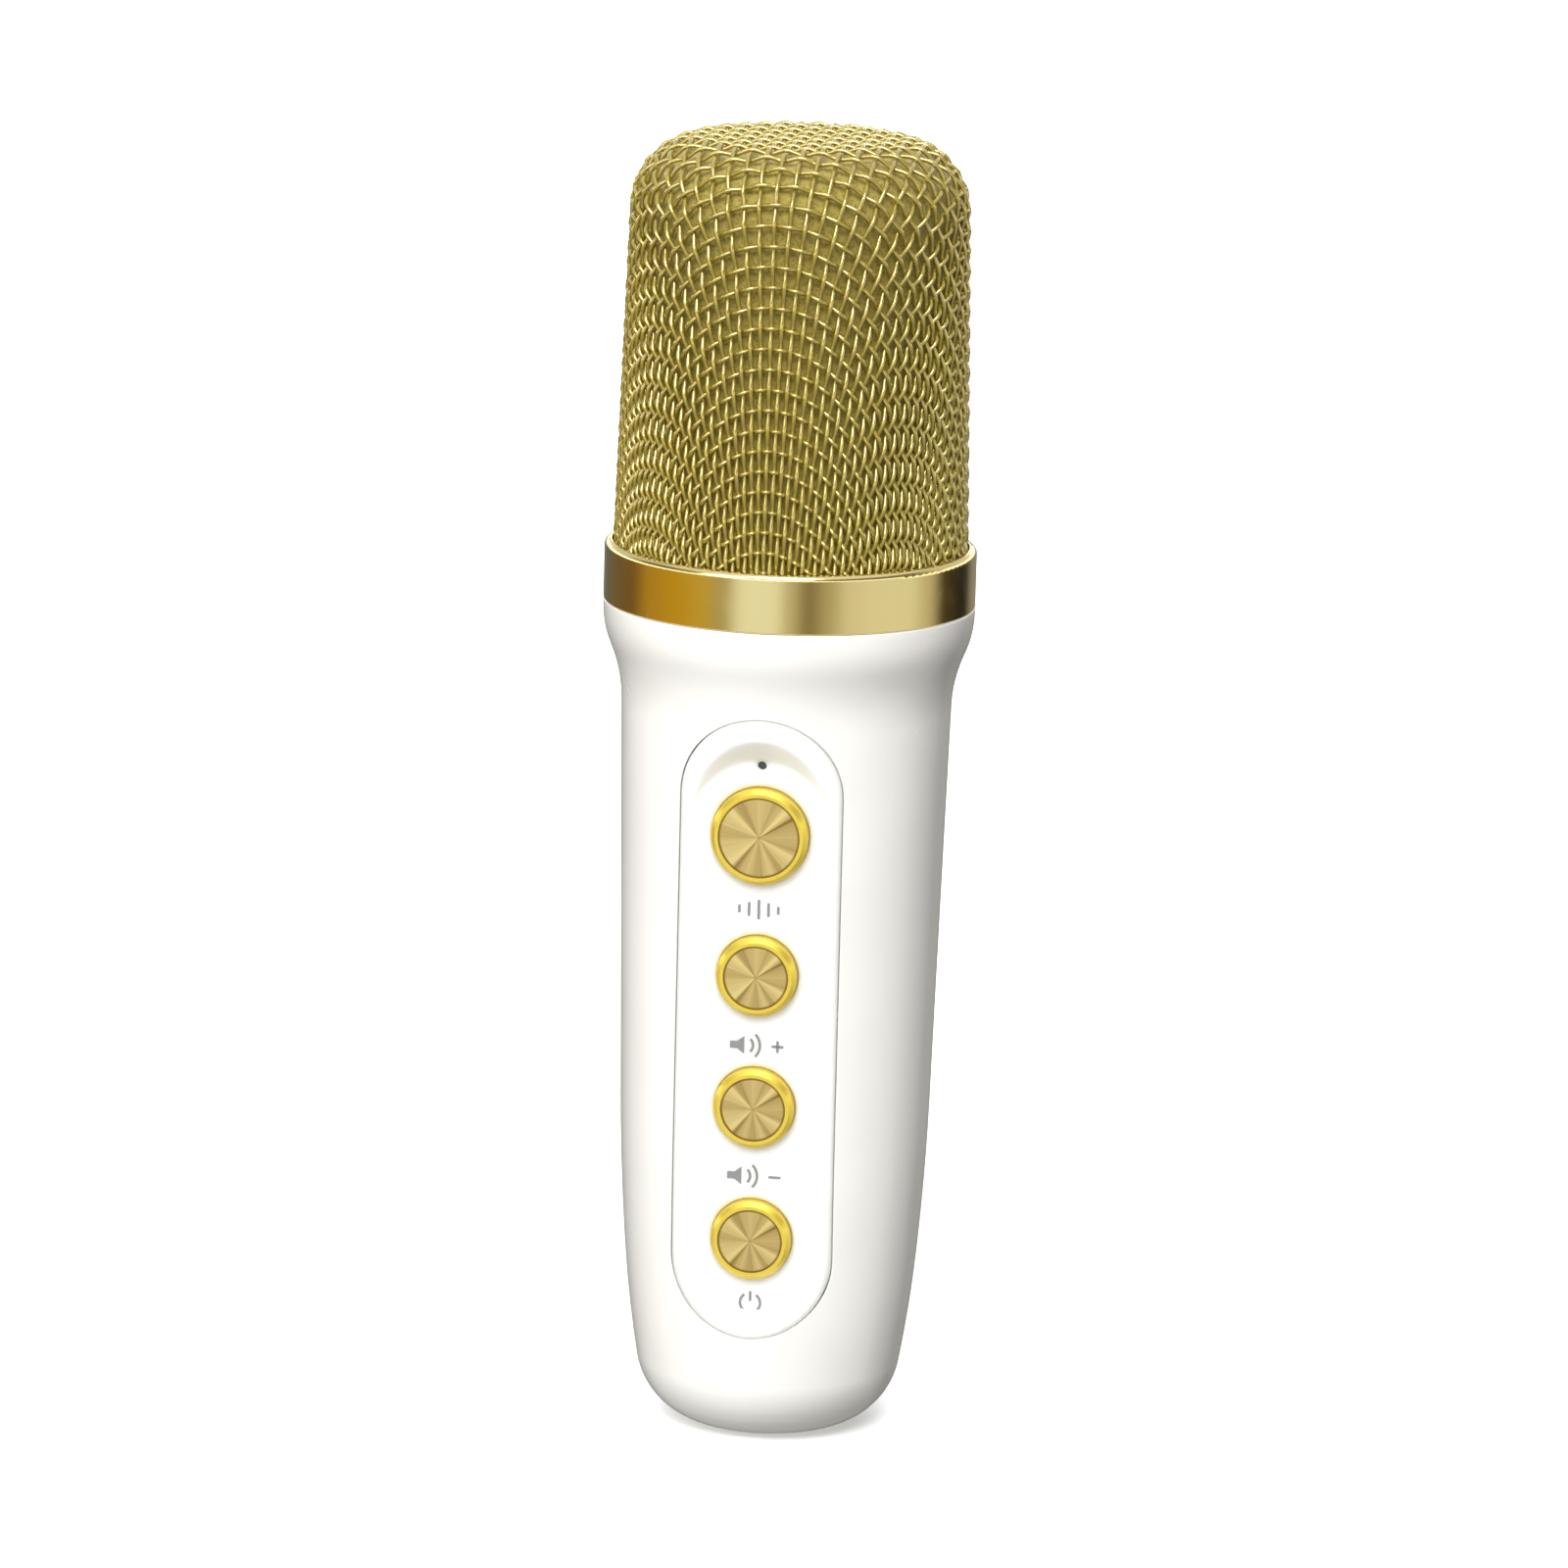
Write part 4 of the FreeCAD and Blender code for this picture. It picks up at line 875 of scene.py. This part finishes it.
goldRing = (0.80, 0.68, 0.34, 1.0)
goldCap = (0.78, 0.60, 0.085, 1.0)
finishes = {
    "handle_gloss": mouldedFinish("glossyWhiteShell", (0.86, 0.845, 0.80, 1.0), shellLook),
    "panel_gloss": mouldedFinish("satinWhitePanel", (0.885, 0.875, 0.84, 1.0), panelLook),
    "black_plastic": mouldedFinish("mattBlackPlastic", slotColour["black_plastic"], matteLook),
    "chassis_plastic": mouldedFinish("greyChassis", slotColour["chassis_plastic"], matteLook),
    "ring_gold": metalFinish("polishedRingGold", goldRing, ringLook),
    "button_gold": metalFinish("polishedCapGold", goldCap, capLook),
    "screw_steel": metalFinish("zincPlatedSteel", slotColour["screw_steel"], tinLook),
    "shield_steel": metalFinish("tinnedSteel", slotColour["shield_steel"], tinLook),
    "copper": metalFinish("bareCopper", slotColour["copper"], tinLook),
    "mesh_gold": wovenWireFinish(),
    "foam": foamFinish(),
    "felt": feltFinish(),
    "board_green": boardFinish(),
    "cell_wrap": cellFinish(),
    "seal_rubber": rubberFinish(),
    "led_lens": lensFinish("clearLens", slotColour["led_lens"], 0.6),
    "light_pipe": lensFinish("smokedLightPipe", (0.045, 0.05, 0.05, 1.0), 0.0),
    "lead_red": leadFinish("redInsulation", slotColour["lead_red"]),
    "lead_black": leadFinish("blackInsulation", slotColour["lead_black"]),
}


def giveFinish(piece, material):
    piece.data.materials.clear()
    piece.data.materials.append(material)


for part in record["subparts"]:
    node = part["node"]
    if node.endswith("_button_disc"):
        giveFinish(nodes[node], spunFinish(node.replace("_button_disc", "")))
    else:
        giveFinish(nodes[node], finishes[part["material_slot"]])
giveFinish(warp, finishes["mesh_gold"])
giveFinish(weft, finishes["mesh_gold"])
giveFinish(foamPiece, finishes["foam"])
giveFinish(feltPiece, finishes["felt"])
giveFinish(marksPiece, inkFinish())
print("finishes given to", len(record["subparts"]), "nodes and 5 pieces")

# studio: pale floor, two broad suns in front, a fill behind, and a sky that is dim on the right
studio = {
    "floorSize": 10.0,
    "floorColour": (0.90, 0.90, 0.895, 1.0),
    # power, azimuth, elevation, spread, and whether it glints and throws a shadow
    "suns": (("frontSun", 2.92, -5.0, 47.0, 34.0, True),
             ("sideSun", 0.80, -44.0, 31.0, 26.0, True),
             ("backSun", 2.1, 178.0, 40.0, 50.0, False)),
    "zenith": 1.15,
    "glowLow": 2.0, "glowHigh": 14.0, "glow": 2.8,      # strip of light all round, above the camera
    "back": (0.75, 0.72, 0.62), "front": (0.20, 0.18, 0.13), "overhead": (0.95, 0.95, 0.92),
}
# soft light by degrees round from the camera
softSky = [(-180, 0.26), (-110, 0.22), (-72, 0.62), (-50, 0.78), (8, 0.78), (34, 0.40), (60, 0.17),
           (100, 0.12), (150, 0.20), (180, 0.26)]
# colour of the strip of light, by the same degrees
glowRound = [(-180, (0.7, 0.68, 0.6)), (-120, (1.0, 0.98, 0.88)), (-20, (1.0, 0.98, 0.88)),
             (40, (0.72, 0.70, 0.63)), (180, (0.7, 0.68, 0.6))]
# what polished faces mirror at their own height: amber wall, white screen, gap, white screen, dark
reflected = [
    (-180, (0.30, 0.29, 0.26)), (-155, (0.15, 0.15, 0.13)), (-134, (0.18, 0.13, 0.07)),
    (-114, (0.20, 0.11, 0.03)), (-95, (0.50, 0.29, 0.03)), (-74, (0.58, 0.35, 0.02)),
    (-55, (0.62, 0.42, 0.06)), (-42, (0.48, 0.40, 0.20)), (-28, (0.98, 1.00, 0.98)),
    (-9, (0.98, 1.00, 0.98)), (0, (0.62, 0.58, 0.42)), (12, (0.25, 0.20, 0.10)),
    (24, (0.50, 0.45, 0.30)), (38, (0.82, 0.78, 0.66)), (56, (0.86, 0.85, 0.74)),
    (80, (0.86, 0.85, 0.75)), (94, (0.66, 0.60, 0.45)), (112, (0.06, 0.04, 0.02)),
    (138, (0.02, 0.02, 0.02)), (154, (0.30, 0.28, 0.24)), (180, (0.30, 0.29, 0.26))]


def makeFloor():
    nothingSelected()
    bpy.ops.mesh.primitive_plane_add(size=studio["floorSize"], location=(0, 0, 0))
    floor = bpy.context.object
    floor.name = "studio_floor"
    floor.visible_glossy = False
    floor.visible_diffuse = False
    giveFinish(floor, newFinish("paleFloor", Roughness=0.9, Specular_IOR_Level=0.1,
                                Base_Color=studio["floorColour"])[0])


def makeSun(name, power, azimuth, elevation, spread, isKey):
    a, e = math.radians(azimuth + cameraPlace["azimuth"]), math.radians(elevation)
    towards = Vector((math.sin(a) * math.cos(e), -math.cos(a) * math.cos(e), math.sin(e)))
    data = bpy.data.lights.new(name, "SUN")
    data.energy = power
    data.angle = math.radians(spread)
    data.use_shadow = isKey      # the fill behind throws no shadow towards the camera
    sun = bpy.data.objects.new(name, data)
    bpy.context.scene.collection.objects.link(sun)
    sun.matrix_world = (Matrix.Translation(towards)
                        @ (-towards).to_track_quat("-Z", "Y").to_matrix().to_4x4())
    sun.visible_glossy = isKey


def skyRamp(tree, turned, stops):
    ramp = addNode(tree, "ShaderNodeValToRGB")
    ramp.color_ramp.interpolation = "EASE"
    marks = ramp.color_ramp.elements
    while len(marks) < len(stops):
        marks.new(0.5)
    for mark, (degrees, colour) in zip(marks, stops):
        mark.position = (degrees + 180.0) / 360.0
        mark.color = (*(colour if isinstance(colour, tuple) else (colour,) * 3), 1.0)
    tree.links.new(turned, ramp.inputs[0])
    return ramp.outputs[0]


def makeWorld():
    world = bpy.data.worlds.new("studioWorld")
    bpy.context.scene.world = world
    world.use_nodes = True
    tree = world.node_tree
    tree.nodes.clear()
    place = addNode(tree, "ShaderNodeTexCoord")
    parts = addNode(tree, "ShaderNodeSeparateXYZ")
    tree.links.new(place.outputs["Generated"], parts.inputs[0])
    up = parts.outputs["Z"]
    away = mathNode(tree, "MULTIPLY", parts.outputs["Y"], -1.0)
    angle = mathNode(tree, "ARCTAN2", parts.outputs["X"], away)
    turned = mathNode(tree, "DIVIDE", angle, 2 * math.pi)
    turned = mathNode(tree, "FRACT", mathNode(tree, "ADD", turned, 1.5 - cameraPlace["azimuth"] / 360.0))
    soft = skyRamp(tree, turned, softSky)
    zenith = (studio["zenith"],) * 3 + (1.0,)
    soft = mixNode(tree, rangeNode(tree, up, 0.45, 0.75), soft, zenith)
    level = skyRamp(tree, turned, reflected)
    behind = rangeNode(tree, parts.outputs["Y"], 0.1, 0.6)
    above = mixNode(tree, behind, (*studio["front"], 1.0), (*studio["back"], 1.0))
    above = mixNode(tree, rangeNode(tree, up, 0.58, 0.85), above, (*studio["overhead"], 1.0))
    low, high = (math.sin(math.radians(studio[key])) for key in ("glowLow", "glowHigh"))
    strip = mathNode(tree, "MULTIPLY", rangeNode(tree, up, low - 0.04, low + 0.04),
                     rangeNode(tree, up, high - 0.05, high + 0.05, 1.0, 0.0))
    glow = skyRamp(tree, turned, glowRound)
    glow = mixNode(tree, 1.0, glow, (studio["glow"],) * 3 + (1.0,), "MULTIPLY")
    above = mixNode(tree, strip, above, glow)
    shown = mixNode(tree, rangeNode(tree, up, 0.02, 0.12), level, above)
    shown = mixNode(tree, rangeNode(tree, up, -0.62, -0.42, 1.0, 0.0), shown, (0.45, 0.43, 0.38, 1.0))
    shaders = []
    for colour in (soft, shown, (1.0, 1.0, 1.0, 1.0)):
        background = addNode(tree, "ShaderNodeBackground")
        if isinstance(colour, tuple):
            background.inputs["Color"].default_value = colour
        else:
            tree.links.new(colour, background.inputs["Color"])
        shaders.append(background.outputs[0])
    rays = addNode(tree, "ShaderNodeLightPath")
    mirrorMix = addNode(tree, "ShaderNodeMixShader")
    tree.links.new(rays.outputs["Is Glossy Ray"], mirrorMix.inputs[0])
    tree.links.new(shaders[0], mirrorMix.inputs[1])
    tree.links.new(shaders[1], mirrorMix.inputs[2])
    plainMix = addNode(tree, "ShaderNodeMixShader")
    tree.links.new(rays.outputs["Is Camera Ray"], plainMix.inputs[0])
    tree.links.new(mirrorMix.outputs[0], plainMix.inputs[1])
    tree.links.new(shaders[2], plainMix.inputs[2])
    output = addNode(tree, "ShaderNodeOutputWorld")
    tree.links.new(plainMix.outputs[0], output.inputs["Surface"])


makeFloor()
makeWorld()
for sun in studio["suns"]:
    makeSun(*sun)
bpy.context.scene.view_settings.view_transform = "Standard"
print("studio lit")

nothingSelected()
